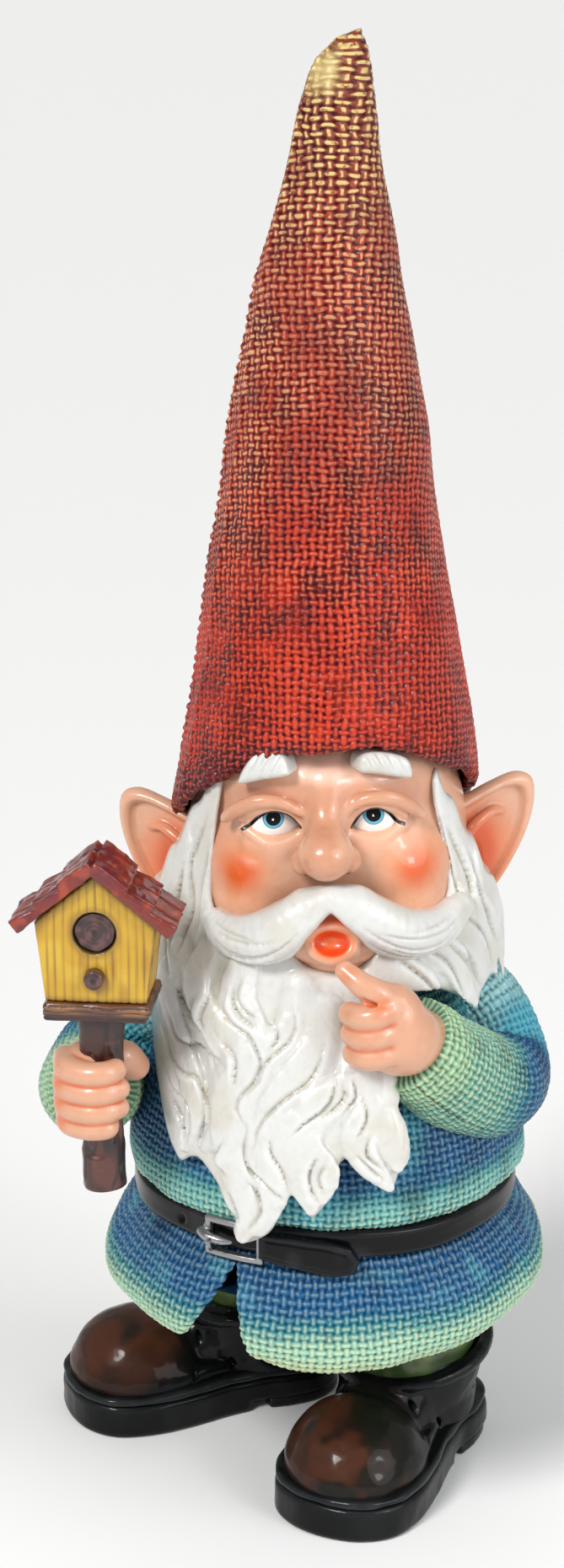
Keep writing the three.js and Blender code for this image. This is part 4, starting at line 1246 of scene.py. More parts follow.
def make_beard():
    clay = Clay((-50, -70, 94), (50, 10, 220), 0.56)
    x, y, z, skin = hair_shell(clay, BEARD_LEVELS)
    depth = np.maximum(skin + 0.4, -(skin + 7.5))
    sheet = outline_distance(ring_track(BEARD_OUTLINE, 150), x, z)
    clay.d = -smooth_min(-depth, -sheet, 4.5)
    clay.d = np.maximum(clay.d, y - 7.0).astype(np.float32)
    for number, (width, curve) in enumerate(BEARD_LOCKS):
        c = track(curve, 3 * len(curve))
        points = over_hair(c[:, 0], c[:, 1], 0.2)
        lock(clay, points, width, seed=number, flat=0.36, blend=2.0, tip=0.3, root=0.4)
    for first, last, seed in ((-94, -62, 60), (66, 98, 70)):
        for number, degrees in enumerate(range(first, last, 10)):
            height = np.array([206.0, 197, 187, 176, 164, 156]) - 3 * (number % 2)
            sway = 4.5 * np.sin(np.arange(6) * 1.35 + 0.8 * number + seed)
            points = around_hair(degrees + sway, height, -0.6)
            lock(clay, points, 9.5, seed=seed + number, flat=0.36, blend=1.6)
    clay.cut(slab(ring_track(FACE_WINDOW, 90), -90, -6), 2.2)

    def under_hat(x, y, z):
        return (2.0 * np.abs(x + 0.8) + z + 0.15 * y - 269 + 1.2 * np.sin(x * 1.1)) / 2.24

    clay.keep(under_hat, 1.6)
    clay.cut(ball((0, 0.5, 196), (36.0, 34.0, 40.0)), 0)
    verts, quads = clay.skin(1)
    verts = creased(verts, quads, BEARD_CREASES)
    verts = comb(verts, quads, 0.12)
    hair_piece("beard", verts, quads)


MOUSTACHE = {  # the top and bottom curves of each half, from the middle outwards: x, y, z
    "right": (
        [[0.8, -47.6, 191.0], [-8, -46.6, 189.4], [-15, -44.0, 185.4], [-21, -40.4, 181.8],
         [-26.5, -36.0, 180.4], [-30.6, -32.0, 181.0]],
        [[0.2, -47.6, 185.6], [-5, -48.0, 178.6], [-10.5, -47.4, 172.8], [-18, -44.0, 170.0],
         [-25.8, -38.4, 170.6], [-30.8, -33.0, 175.0]],
    ),
    "left": (
        [[-0.2, -47.6, 191.2], [8, -46.6, 190.8], [15, -44.2, 187.0], [22, -40.4, 183.2],
         [29, -34.6, 181.8], [34.6, -28.6, 184.0]],
        [[0.4, -47.6, 185.6], [5, -48.0, 179.6], [11.5, -46.8, 174.6], [20, -43.0, 171.2],
         [28.8, -36.8, 171.8], [34.8, -29.6, 176.6]],
    ),
}
MOUTH_OPENING = [[0.3, 185.5], [-5.6, 178.6], [-8.4, 172], [1, 166], [10.6, 172], [7.6, 178.6]]


def make_moustache():
    for side in MOUSTACHE:
        s = SIGN[side]
        clay = Clay((min(0, 41 * s) - 3, -60, 164), (max(0, 41 * s) + 3, -18, 197), 0.42)
        creases = []
        for half in MOUSTACHE:
            top, bottom = MOUSTACHE[half]
            t = np.linspace(0, 1, 16)
            upper, lower = track(top, 16), track(bottom, 16)
            span = np.linalg.norm(upper - lower, axis=1)
            core = (upper + lower) / 2
            normal = np.array([outward(q) for q in core])
            body = np.column_stack([core - 0.6 * normal, span * 0.52])
            clay.add(limb(body, 0.85, outward, count=16), 2.5)
            behind = upper - 4.5 * normal - (0, 0, 4.4)
            clay.add(limb(np.column_stack([behind, np.full(16, 3.6)]), count=16), 2.5)
            if half == side:
                for g, first in ((0.3, 0.62), (0.48, 0.45), (0.62, 0.3), (0.74, 0.5), (0.86, 0.35)):
                    run = t[t >= first - 0.05]
                    share = g + 0.12 * np.sin(np.pi * (run - first) / (1 - first)) * (-1 if g > 0.5 else 1)
                    between = upper + (lower - upper) * g
                    line = np.array([np.interp(run, t, between[:, k]) for k in (0, 2)]).T
                    line[:, 1] += (share - g) * 9
                    creases.append(line[:-1])
        clay.add(limb([[-6, -44.6, 187.0, 3.2], [0.3, -45.6, 187.4, 3.3], [6.6, -44.6, 187.4, 3.2]]), 3.5)
        clay.cut(slab(MOUTH_OPENING, -60, -30), 2.2)
        clay.keep(lambda x, y, z: -s * (x - 0.3) - 0.9)
        verts, quads = clay.skin(1)
        verts = creased(verts, quads, creases, 0.5, 0.5, 0.35)
        verts = comb(verts, quads, 0.07)
        hair_piece(f"{side}_moustache", verts, quads, 0.9)


BROWS = {
    "right": [
        [-10.2, 218.6], [-9.8, 220.6], [-12.2, 224.4], [-17.4, 223.8], [-20.8, 220.2], [-22.6, 215.8],
        [-21.6, 215.0], [-16.2, 216.8],
    ],
    "left": [
        [6.6, 221.2], [7.6, 223.8], [10.6, 224.4], [15.6, 223.4], [19.6, 221.2], [20.4, 217.2],
        [18.6, 216.6], [10.4, 218.8], [7.4, 219.4],
    ],
}


def make_brows():
    for side, outline in BROWS.items():
        s = SIGN[side]
        middle = np.mean(outline, axis=0)
        clay = Clay((middle[0] - 11, -50, middle[1] - 9), (middle[0] + 11, -24, middle[1] + 9), 0.32)
        axes = turn(yaw=math.degrees(math.atan(0.42)) * s)
        o = [[(u - middle[0]) / axes[0][0], w - middle[1]] for u, w in ring_track(outline, 50)]
        centre = (middle[0], -35.0, middle[1])
        clay.add(slab(o, -3.6, 6, 2.8, axes=axes, centre=centre))
        for k in range(7):
            u = -8.4 + 2.7 * k
            base = np.array(centre) + axes[0] * u + axes[1] * (-3.6)
            hair = [base + (-2.3 * s, 0.6, 4.6), base + (0, -0.3, 0.6), base + (2.0 * s, 0.5, -4.0)]
            clay.cut(limb([[*h, 1.0] for h in hair]), 0.7)
        verts, quads = clay.skin(2)
        hair_piece(f"{side}_eyebrow", verts, quads, 0.5)


BACK_HAIR_LEVELS = [  # height, half width, half depth and the middle's y
    [150, 38, 36, 4], [165, 43, 38, 3], [180, 41, 38.5, 2], [189, 37.5, 36.5, 2], [197, 34.5, 33.5, 2],
    [216, 33.5, 33, 2],
]


def make_back_hair():
    clay = Clay((-50, -4, 150), (50, 50, 216), 0.6)
    _, y, z, skin = hair_shell(clay, BACK_HAIR_LEVELS)
    shell = np.maximum(skin, -(skin + 8))
    ends = np.maximum(np.maximum(5.0 - y, z - 208), 159 - z)
    clay.d = np.maximum(shell, ends).astype(np.float32)
    for number, degrees in enumerate(range(98, 263, 8)):
        height = np.array([208.0, 196, 184, 172, 160, 153]) - 2.5 * (number % 2)
        size = levels(height, BACK_HAIR_LEVELS)
        a = np.radians(degrees + 4.5 * np.sin(np.arange(6) * 1.4 + number))
        p = np.stack(
            [(size[:, 0] - 0.6) * np.sin(a), size[:, 2] - (size[:, 1] - 0.6) * np.cos(a), height], axis=-1
        )
        lock(clay, p, 8.5, seed=90 + number, flat=0.42, blend=1.2)
    clay.keep(lambda x, y, z: 4.6 - y)
    for s in (-1, 1):
        clay.cut(brick((42 * s, 4, 206), (9, 9, 26)), 3)
    verts, quads = clay.skin(1)
    verts = comb(verts, quads)
    hair_piece("back_hair", verts, quads)


# ---- Coat ---------------------------------------------------------------------------------------

FRONT_TURN = -27.0  # degrees from the front to the coat's opening, towards the figure's right
COAT_LEVELS = [  # height, half width, half depth, and the middle's x and y
    [91, 47.5, 47.5, 0, 0], [98.2, 50.2, 50.2, 0, 0], [99.8, 53.0, 53.0, 0, 0], [102.4, 54.2, 54.0, 0, 0],
    [107, 54.2, 53.4, 0, 0], [116, 52.5, 51, 0, 0], [128, 49, 47, 0, 0], [140, 44.5, 41.5, 0, 0],
    [150, 38, 35, 0, 2], [158, 29, 28, 0, 4], [160, 20, 20, 0, 4],
]
PALE, CREAM = colour(126, 182, 158), colour(204, 206, 160)
TEAL, CYAN = colour(44, 128, 140), colour(72, 164, 186)
BLUE, NAVY = colour(20, 90, 138), colour(14, 56, 100)


def clothed(name, verts, faces, node, across, along, bands, brush, depth=0.5, flat=0.0, holes=0.42):
    """A piece of painted burlap. Bands gives its paint, without the holes' and the threads' tones."""
    across = across + 0.3 * lumps(verts, 18, 31) + 0.15 * lumps(verts, 4.5, 32)
    along = along + 0.3 * lumps(verts, 20, 33) + 0.15 * lumps(verts, 4.5, 34)
    quads = faces[0] if isinstance(faces, list) else faces
    out = pushed(verts, quads, depth * (1 - flat) * (weave(across, along) - 0.1))
    # painted shade: the holes get a darker copy of the bands
    under = bands * holes
    tips = mix(bands * 1.25, CREAM, 0.75)
    piece(
        name, out, faces, node, "coat", "coat", Paint=bands, Under=under, Tips=tips,
        Brush=np.clip(brush, 0, 1), Across=across, Along=along,
    )


def make_coat_body():
    columns, rows = ((520, 116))
    z, a = np.meshgrid(
        np.linspace(91, 160, rows), np.linspace(0, 2 * np.pi, columns, endpoint=False), indexing="ij",
    )
    size = levels(z, COAT_LEVELS)
    hem = step(104, 97, z) * lumps(np.stack([60 * np.cos(a), 60 * np.sin(a), 0 * a], -1), 9, 36) * 0.9
    p = np.stack(
        [size[..., 2] + size[..., 0] * np.cos(a), size[..., 3] + size[..., 1] * np.sin(a), z + hem],
        axis=-1,
    )
    swell = 0.9 * lumps(p, 16, 35) + 0.4 * lumps(p, 7, 37)
    push_round(p, swell, a)
    verts, quads = p.reshape(-1, 3), grid(rows, columns)
    verts, top = fan(verts, np.arange(columns) + (rows - 1) * columns)
    verts, under = fan(verts, np.arange(columns), flip=True)
    height = verts[:, 2] + 1.5 * lumps(verts, 10, 38)
    bands = mix(mix(PALE, CYAN, 0.45), TEAL, step(104.5, 109, height))
    bands = layered(
        bands,
        (BLUE, step(106, 112, height)),
        (NAVY, 0.35 * step(110, 118, height) * step(134, 124, height)),
        (TEAL, step(136, 148, height)),
    )
    front = step(30, -30, verts[:, 1])
    bands = layered(
        bands,
        (CYAN, 0.85 * front * step(16, 4, np.hypot(verts[:, 0] + 8, (verts[:, 2] - 106) * 1.7))),
        (CYAN, 0.7 * front * step(8, 2, np.hypot(verts[:, 0] - 20, (verts[:, 2] - 122) * 0.6))),
    )
    bands = mix(bands, bands * 0.72, step(0.1, 0.8, lumps(verts, 6, 39)))
    around = np.arctan2(verts[:, 0], -verts[:, 1]) * 52 / THREAD
    brush = 0.75 * step(108, 99, height) + 0.25
    clothed(
        "gnome_coat_body", verts, [quads, top, under], "coat_body", around + 90.5, verts[:, 2] / THREAD,
        bands, brush,
    )


# height and radius
SKIRT_LEVELS = [[60, 57.2], [62.5, 59.6], [69, 61.8], [76, 60.0], [85, 55.2], [91.2, 50.0]]
HEM_Z, SKIRT_TOP, SKIRT_THICKNESS = 60.0, 91.2, 4.4


def slit_half(z):
    """Half the opening's width at a height, left and right of its middle, in millimetres."""
    t = np.clip((87.5 - z) / 29.5, 0, 1)
    return 0.05 + 17.0 * t**1.1, 0.05 + 8.5 * t**1.05


def curl(e, radius=2.3):
    """How far a surface draws in at a distance from its rounded edge."""
    return radius * (1 - np.sqrt(np.clip(1 - (1 - np.clip(e, 0, radius) / radius) ** 2, 0, 1)))


def skirt_wall(z, inset, t):
    """Points of the skirt's wall at heights z, t of the way round from one side of its opening."""
    size = levels(z, SKIRT_LEVELS)[..., 0] - inset
    left, right = slit_half(z)
    start, end = np.radians(FRONT_TURN) + right / size, np.radians(FRONT_TURN) - left / size + 2 * np.pi
    a = start + (end - start) * t - np.pi / 2
    from_slit = np.minimum(t, 1 - t) * (end - start) * size
    from_hem = z - HEM_Z
    open_here = step(87.5, 84, z)
    size = size - np.where(inset > 1, -1, 1) * np.maximum(curl(from_hem), curl(from_slit) * open_here)
    share_down = np.clip((80 - z) / 20, 0, 1)
    rise = 5.5 * share_down * (np.cos(a) ** 2 + 0.6 * np.maximum(0, np.sin(a)) ** 2)
    corner = bell(from_slit, 0, 5) * step(66, 60, z) * 1.6
    return np.stack([size * np.cos(a), size * np.sin(a), z + rise + corner], axis=-1)


def make_skirt():
    columns = 600
    outer_z = np.linspace(SKIRT_TOP, HEM_Z, 58)
    inner_z = np.linspace(HEM_Z, 80, 18)
    share = np.linspace(0, 1, columns)
    zo, t = np.meshgrid(outer_z, share, indexing="ij")
    outer = skirt_wall(zo, 0.0, t)
    zi, ti = np.meshgrid(inner_z, share, indexing="ij")
    inner = skirt_wall(zi, SKIRT_THICKNESS, ti)
    p = np.concatenate([outer, inner])
    swell = 1.3 * lumps(p, 20, 41) + 0.5 * lumps(p, 8, 42)
    swell *= np.concatenate([step(SKIRT_TOP, 80, zo), 0.5 + 0 * zi])
    angle = np.arctan2(p[..., 1], p[..., 0])
    push_round(p, swell, angle)
    rows = len(outer_z) + len(inner_z)
    verts = p.reshape(-1, 3)
    quads = grid(rows, columns, closed=False)[:, ::-1]
    # The flaps' edges: the outer wall's rows joined to the inner wall's at each side of the opening.
    middle = len(outer_z)
    index = np.arange(rows * columns).reshape(rows, columns)
    down = np.linspace(middle - 1, np.argmin(np.abs(outer_z - 80)), len(inner_z)).round().astype(int)
    edges = []
    for column, flip in ((0, False), (columns - 1, True)):
        o, i = index[down, column], index[middle:, column]
        strip = np.stack([o[:-1], i[:-1], i[1:], o[1:]], axis=1)
        edges.append(strip[:, ::-1] if flip else strip)
    verts, top = fan(verts, index[0], flip=True)
    verts, ceiling = fan(verts, index[-1])
    height = (
        verts[:, 2]
        - 5.5 * np.clip((80 - verts[:, 2]) / 20, 0, 1) * (verts[:, 0] / 60) ** 2
        + 1.3 * lumps(verts, 11, 43)
    )
    bands = layered(
        BLUE,
        (NAVY, 0.35 * step(80, 88, height)),
        (colour(70, 146, 168), 0.55 * step(0.1, 0.8, lumps(verts, 6, 44)) * step(74, 80, height)),
        (TEAL, step(80.0, 73.5, height)),
        (colour(148, 196, 172), step(75.5, 68.0, height)),
    )
    a = np.arctan2(verts[:, 0], -verts[:, 1]) - np.radians(FRONT_TURN)
    near_slit = bell(a, 0, 0.34)
    bands = mix(bands, colour(206, 204, 140), step(67, 61, height) * (0.35 + 0.65 * near_slit))
    bands = mix(bands, bands * 0.8, step(0.2, 0.8, lumps(verts, 6, 45)))
    around = ((a + 2 * np.pi) % (2 * np.pi)) * 58 / THREAD
    within = np.zeros(len(verts))
    within[middle * columns :] = 1
    brush = (0.25 + 0.75 * step(80, 68, height)) * (1 - within)
    # painted shade: the skirt's inside made darker, towards navy
    bands = mix(bands, NAVY, 0.5 * within)
    clothed(
        "gnome_coat_skirt", verts, [np.vstack([quads, *edges]), top, ceiling], "coat_skirt", around,
        verts[:, 2] / THREAD, bands, brush, flat=0.6 * within,
    )


SLEEVES = {  # x, y, z and radius, from the shoulder to the cuff
    "left": [
        [31, 2, 150, 11.5], [41.5, -2, 140, 13.6], [46.6, -9, 128, 14], [43, -22, 127.5, 14.4],
        [32, -35, 136.5, 14.2], [20, -45.5, 149.5, 13.4],
    ],
    "right": [
        [-36, 8, 142, 12], [-50, 8, 134, 13.6], [-59, 4, 126, 14], [-63.5, -8, 122.5, 14],
        [-63.5, -20, 126, 13.4], [-61.8, -29, 131, 12.4],
    ],
}
SLEEVE_FOLDS = {"left": [(37, -20, 143), (45, -18, 137)], "right": [(-52, -6, 133), (-57, -16, 134)]}


def round_path(path, verts):
    """How far along a path each point lies, its angle about the path, and the path's length."""
    best = np.full(len(verts), 1e9)
    along, around = np.zeros(len(verts)), np.zeros(len(verts))
    run, up = 0.0, unit(np.cross(path[1] - path[0], [0, 0, 1.0]))
    for q0, q1 in zip(path[:-1], path[1:]):
        size = np.linalg.norm(q1 - q0)
        d = (q1 - q0) / size
        up = unit(up - d * (up @ d))
        side_way = np.cross(d, up)
        h = np.clip((verts - q0) @ d, 0, size)
        off = verts - q0 - h[:, None] * d
        away = np.linalg.norm(off, axis=1)
        closer = away < best
        best[closer] = away[closer]
        along[closer] = run + h[closer]
        around[closer] = np.arctan2(off[closer] @ side_way, off[closer] @ up)
        run += size
    return along, around, run


def make_sleeves():
    for side, points in SLEEVES.items():
        p = np.array(points, float)
        low, high = (p[:, :3] - 18).min(0), (p[:, :3] + 18).max(0)
        clay = Clay(low, high, 0.6)
        path = track(p, 34)
        clay.add(limb(path, count=34))
        end, before = path[-1, :3], path[-4, :3]
        forward = unit(end - before)
        side_axis = unit(np.cross(forward, [0, 0, 1.0]))
        cuff_axes = np.array([side_axis, np.cross(forward, side_axis), forward])
        clay.cut(brick(end + 12.2 * forward, (22, 22, 12), 0, cuff_axes), 1.4)
        for fold in SLEEVE_FOLDS[side]:
            f = np.array(fold)
            clay.cut(limb([[*(f + (-7, -3, 1)), 0.5], [*f, 1.1], [*(f + (7, 2, -3)), 0.5]]), 2.2)
        verts, quads = clay.skin(2)
        along, around, run = round_path(path[:, :3], verts)
        t = along / run
        verts = pushed(verts, quads, 0.8 * lumps(verts, 13, 51) + 0.5 * bell(t, 0.93, 0.03))
        mottled = t + 0.05 * lumps(verts, 9, 52)
        bands = mix(colour(150, 212, 222), CYAN, step(0.12, 0.28, mottled))
        bands = layered(
            bands,
            (BLUE, step(0.3, 0.4, mottled)),
            (NAVY, 0.4 * bell(mottled, 0.42, 0.06)),
            (TEAL, step(0.46, 0.58, mottled)),
            (mix(TEAL, PALE, 0.75), step(0.55, 0.75, mottled)),
            (colour(142, 186, 150), step(0.80, 0.95, mottled)),
            (mix(TEAL, BLUE, 0.4), step(-6, 6, verts[:, 1]) * step(0.36, 0.2, t)),
        )
        bands = mix(bands, bands * 0.75, step(0.1, 0.8, lumps(verts, 6, 53)))
        # painted shade: the sleeve darker in its hollows and folds
        bands = mix(bands, bands * 0.55, step(0.2, 1.6, hollow(verts, quads, 20)))
        brush = 0.15 + 0.75 * step(0.4, 0.8, mottled) + 0.5 * step(0.25, 0.1, mottled)
        clothed(
            f"gnome_{side}_sleeve", verts, quads, f"{side}_sleeve", around * 14 / THREAD + 50.5,
            along / THREAD, bands, brush, depth=0.45, holes=0.6,
        )


# ---- Hands --------------------------------------------------------------------------------------


def flesh(name, clay, node, knuckles):
    verts, quads = clay.skin(2)
    paint = np.tile(colour(213, 158, 127), (len(verts), 1))
    crease = hollow(verts, quads, 16)
    # painted highlight: lighter on the bulges; painted shade: orange and brown in the creases
    paint = layered(
        paint,
        (colour(228, 186, 160), 0.7 * step(0.0, 0.5, -crease)),
        (colour(206, 100, 54), 0.95 * step(0.0, 0.16, crease)),
        (colour(160, 84, 54), 0.9 * step(0.4, 1.1, crease)),
    )
    # painted shade: orange spots at the knuckles, where the fingers bend
    for spot, size in knuckles:
        away = np.linalg.norm(verts - spot, axis=1)
        paint = mix(paint, colour(216, 112, 60), 0.8 * step(size, 0.2 * size, away))
    skin_piece(name, verts, quads, node, "skin", paint)


def make_fist():
    clay = Clay((-76, -62, 118), (-40, -16, 154), 0.4)
    clay.add(ball((-62.6, -43.5, 138.2), (7.6, 9.6, 10.6)))
    clay.add(brick((-63.5, -46.0, 136.8), (6.6, 6.0, 9.0), 4.6, turn(yaw=-14)), 3)
    clay.add(limb([[-62.5, -22, 130.5, 8.4], [-62.5, -36, 135.5, 8.6]]), 4)
    clay.add(limb([[-57, -37, 141, 4.2], [-53.4, -36.0, 141.2, 4.6], [-50.6, -34, 138.0, 4.0]]), 2.5)
    for z, reach, size in ((143.8, -0.9, 3.2), (138.6, -0.2, 3.3), (133.4, -0.4, 3.25), (128.6, -2.6, 2.8)):
        finger = [[-68.0, -43, z + 0.2, size], [-66.6, -50, z, size + 0.15], [-61.5, -53.6, z, size + 0.1],
                  [-57, -53.9, z + 0.3, size], [-53.6 + reach, -51.8, z + 0.5, size - 0.25]]
        clay.add(limb(finger), 0.7)
    clay.cut(limb([[POST_X, POST_Y, 110, 4.6], [POST_X, POST_Y, 160, 4.6]]), 0)
    knuckles = [((-69.5, -49, z), 6.5) for z in (141, 136, 131, 127)]
    flesh("gnome_right_hand", clay, "right_hand", knuckles)


def make_pointing_hand():
    clay = Clay((-1, -68, 136), (36, -34, 178), 0.38)
    clay.add(ball((15.8, -53.5, 157.5), (9.0, 8.2, 11.0), turn(yaw=-28)))
    clay.add(ball((17.5, -53.5, 152), (8.6, 7.6, 7.5)), 4)
    clay.add(limb([[26, -43, 147, 8.4], [20, -50, 152.5, 8.8]]), 4)
    pointing = [
        [15.5, -55.6, 164.5, 4.6], [11.8, -57.8, 167.4, 3.8], [7.8, -57.4, 169.8, 3.2],
        [3.8, -55.2, 172.6, 2.6],
    ]
    clay.add(limb(pointing), 1.6)
    for k, (z, size) in enumerate(((162.4, 3.3), (157.0, 3.3), (151.6, 3.2))):
        finger = [[15.0 + k * 0.9, -58.6, z + 0.8, size], [11.5 + k * 0.6, -60.6, z, size + 0.15],
                  [8 + k * 0.4, -59.8, z - 0.6, size + 0.1], [5.2 + k * 0.5, -56.6, z - 0.8, size - 0.2]]
        clay.add(limb(finger), 1.1)
    clay.cut(limb([[12.6, -60.8, 165.0, 0.5], [8.4, -60.8, 166.4, 0.9]]), 0.8)
    knuckles = [
        ((12.5, -60.5, 164.5), 5.0), ((10, -60, 157), 5.0), ((8, -58, 150), 5.0), ((5, -57, 172), 3.5),
    ]
    flesh("gnome_left_hand", clay, "left_hand", knuckles)


# ---- Belt ---------------------------------------------------------------------------------------

BELT_Z, BELT_R = 94.8, 50.4
BLACK, WORN_AND_SHEEN = colour(8, 8, 10), colour(44, 44, 48)


def make_belt():
    section = ring_track(
        [[0, -3.6], [1.9, -3.5], [2.5, -2.6], [2.5, 0], [2.5, 2.6], [1.9, 3.5], [0, 3.6], [-0.4, 0]], 32,
    )
    columns = 420
    a = np.linspace(0, 2 * np.pi, columns, endpoint=False)[None]
    out, up = section[:, :1], section[:, 1:]
    sway = 0.5 * np.sin(3 * a + 1) + 0.25 * np.sin(7 * a)
    r = BELT_R + out + 0.15 * np.sin(11 * a) * (out > 1)
    verts = np.stack([r * np.cos(a), r * np.sin(a), BELT_Z + up + sway + 0 * r], axis=-1)
    rows = len(section)
    quads = grid(rows, columns, around=True)[:, ::-1]
    verts = verts.reshape(-1, 3)
    turned = np.degrees(np.arctan2(verts[:, 0], -verts[:, 1]))
    hole = np.hypot((turned + 47) * 0.92, verts[:, 2] - BELT_Z)
    verts = verts * np.where(hole < 2.2, 1 - 0.024 * step(1.3, 0.7, hole), 1)[:, None] ** [1, 1, 0]
    rim = np.tile(np.abs(section[:, 1:]) > 2.4, (1, columns)).ravel()
    # grey in patches as wear, and grey along the top and bottom edges as a painted highlight
    worn_and_sheen = step(0.1, 0.7, lumps(verts, 7, 61)) * 0.5 + 0.35 * rim
    paint = mix(BLACK, WORN_AND_SHEEN, worn_and_sheen * step(0, 0.5, np.tile(out, (1, columns)).ravel()))
    piece(
        "gnome_belt", verts, quads, "belt", "belt", "belt",
        # painted shade: near-black in the belt's hole
        Paint=mix(paint, BLACK * 0.2, step(1.5, 0.9, hole)),
    )


def round_the_belt(u, out, z):
    """A point of the belt's front, u millimetres along it from the coat's opening."""
    a = np.radians(FRONT_TURN) + u / (BELT_R + 2.5)
    r = BELT_R + 2.5 + out
    return np.stack([r * np.sin(a), -r * np.cos(a), z + 0 * a], axis=-1)


def wrapped(outline, low, high, spacing, rounding, cuts=()):
    """A shape modelled flat, u along the belt, v outwards and w up: its flat points, its quads, and
    its points bent round the belt."""
    p = np.asarray(outline)
    clay = Clay(
        (p[:, 0].min() - 2, low - 2, p[:, 1].min() - 2), (p[:, 0].max() + 2, high + 2, p[:, 1].max() + 2),
        spacing,
    )
    clay.add(slab(outline, low, high, rounding))
    for other in cuts:
        clay.cut(other, 0.5)
    verts, quads = clay.skin(2)
    return verts, quads, round_the_belt(*verts.T)


def make_buckle():
    half, tall, bar = 8.3, 5.6, 1.8

    def rectangle(inset):
        corners = ((-1, -1), (1, -1), (1, 1), (-1, 1))
        return [[u * (half - inset), BELT_Z + w * (tall - inset)] for u, w in corners]

    hole = slab(rectangle(bar), -9, 9, 0.0)
    _, quads, verts = wrapped(rectangle(0.0), 0.2, 2.4, 0.25, 0.8, [hole])
    piece("gnome_buckle_frame", verts, quads, "buckle_frame", "buckle", "silver")
    clay = Clay((-12, -1, BELT_Z - 4), (2, 7, BELT_Z + 4), 0.25)
    prong = [[-9.0, 2.2, 0.4, 1.5], [-6.5, 3.4, 0.2, 1.45], [-3.0, 3.0, -0.2, 1.2], [-0.6, 2.2, -0.4, 0.7]]
    clay.add(limb([[u, v, BELT_Z + w, r] for u, v, w, r in prong]))
    clay.add(limb([[-7.6, 1.4, BELT_Z - 2.4, 1.2], [-7.6, 1.4, BELT_Z + 2.4, 1.2]]), 0.8)
    verts, quads = clay.skin(2)
    piece("gnome_buckle_prong", round_the_belt(*verts.T), quads, "buckle_prong", "buckle", "silver")


def make_belt_tail():
    shape = [
        [7.2, -3.6], [16, -5.2], [26, -7.4], [31.4, -6.8], [33, -3.2], [30.6, 0.6], [24.5, 2.6],
        [16, 3.6], [7.2, 4.0],
    ]
    outline = np.array(shape, float) + (0, BELT_Z)
    flat, quads, verts = wrapped(outline, 0.2, 3.2, 0.3, 1.1)
    edge = outline_distance(outline, flat[:, 0], flat[:, 2])
    # grey along the tail's edge as a painted highlight, and in patches as wear
    paint = mix(BLACK, WORN_AND_SHEEN, 0.45 * bell(edge, -1.0, 0.7) + 0.4 * step(0.2, 0.8, lumps(verts, 6, 63)))
    verts = verts + (0, 1, 0) * (0.35 * bell(edge, -1.6, 0.5))[:, None]
    piece("gnome_belt_tail", verts, quads, "belt_tail", "belt", "belt", Paint=paint)


# ---- Birdhouse ----------------------------------------------------------------------------------

HOUSE = np.array([POST_X + 0.3, POST_Y, 0.0])
HOUSE_AXES = turn(yaw=math.degrees(-0.1))
WALL_LOW, EAVES, APEX, HOUSE_DEPTH = 163.4, 184.5, 197.2, 18.0
FRONT_V = -HOUSE_DEPTH / 2  # the front wall's face, in the birdhouse's own axes
DOORWAY_Z, PERCH_Z = 182.0, 170.4
YELLOW, OLIVE = colour(196, 153, 28), colour(104, 70, 22)
BARK, BARK_DARK = colour(58, 26, 18), colour(24, 12, 11)
ROOF_RED, ROOF_DARK = colour(122, 36, 24), colour(50, 18, 18)


def house_frame(verts):
    return ((verts - HOUSE) @ HOUSE_AXES.T).T


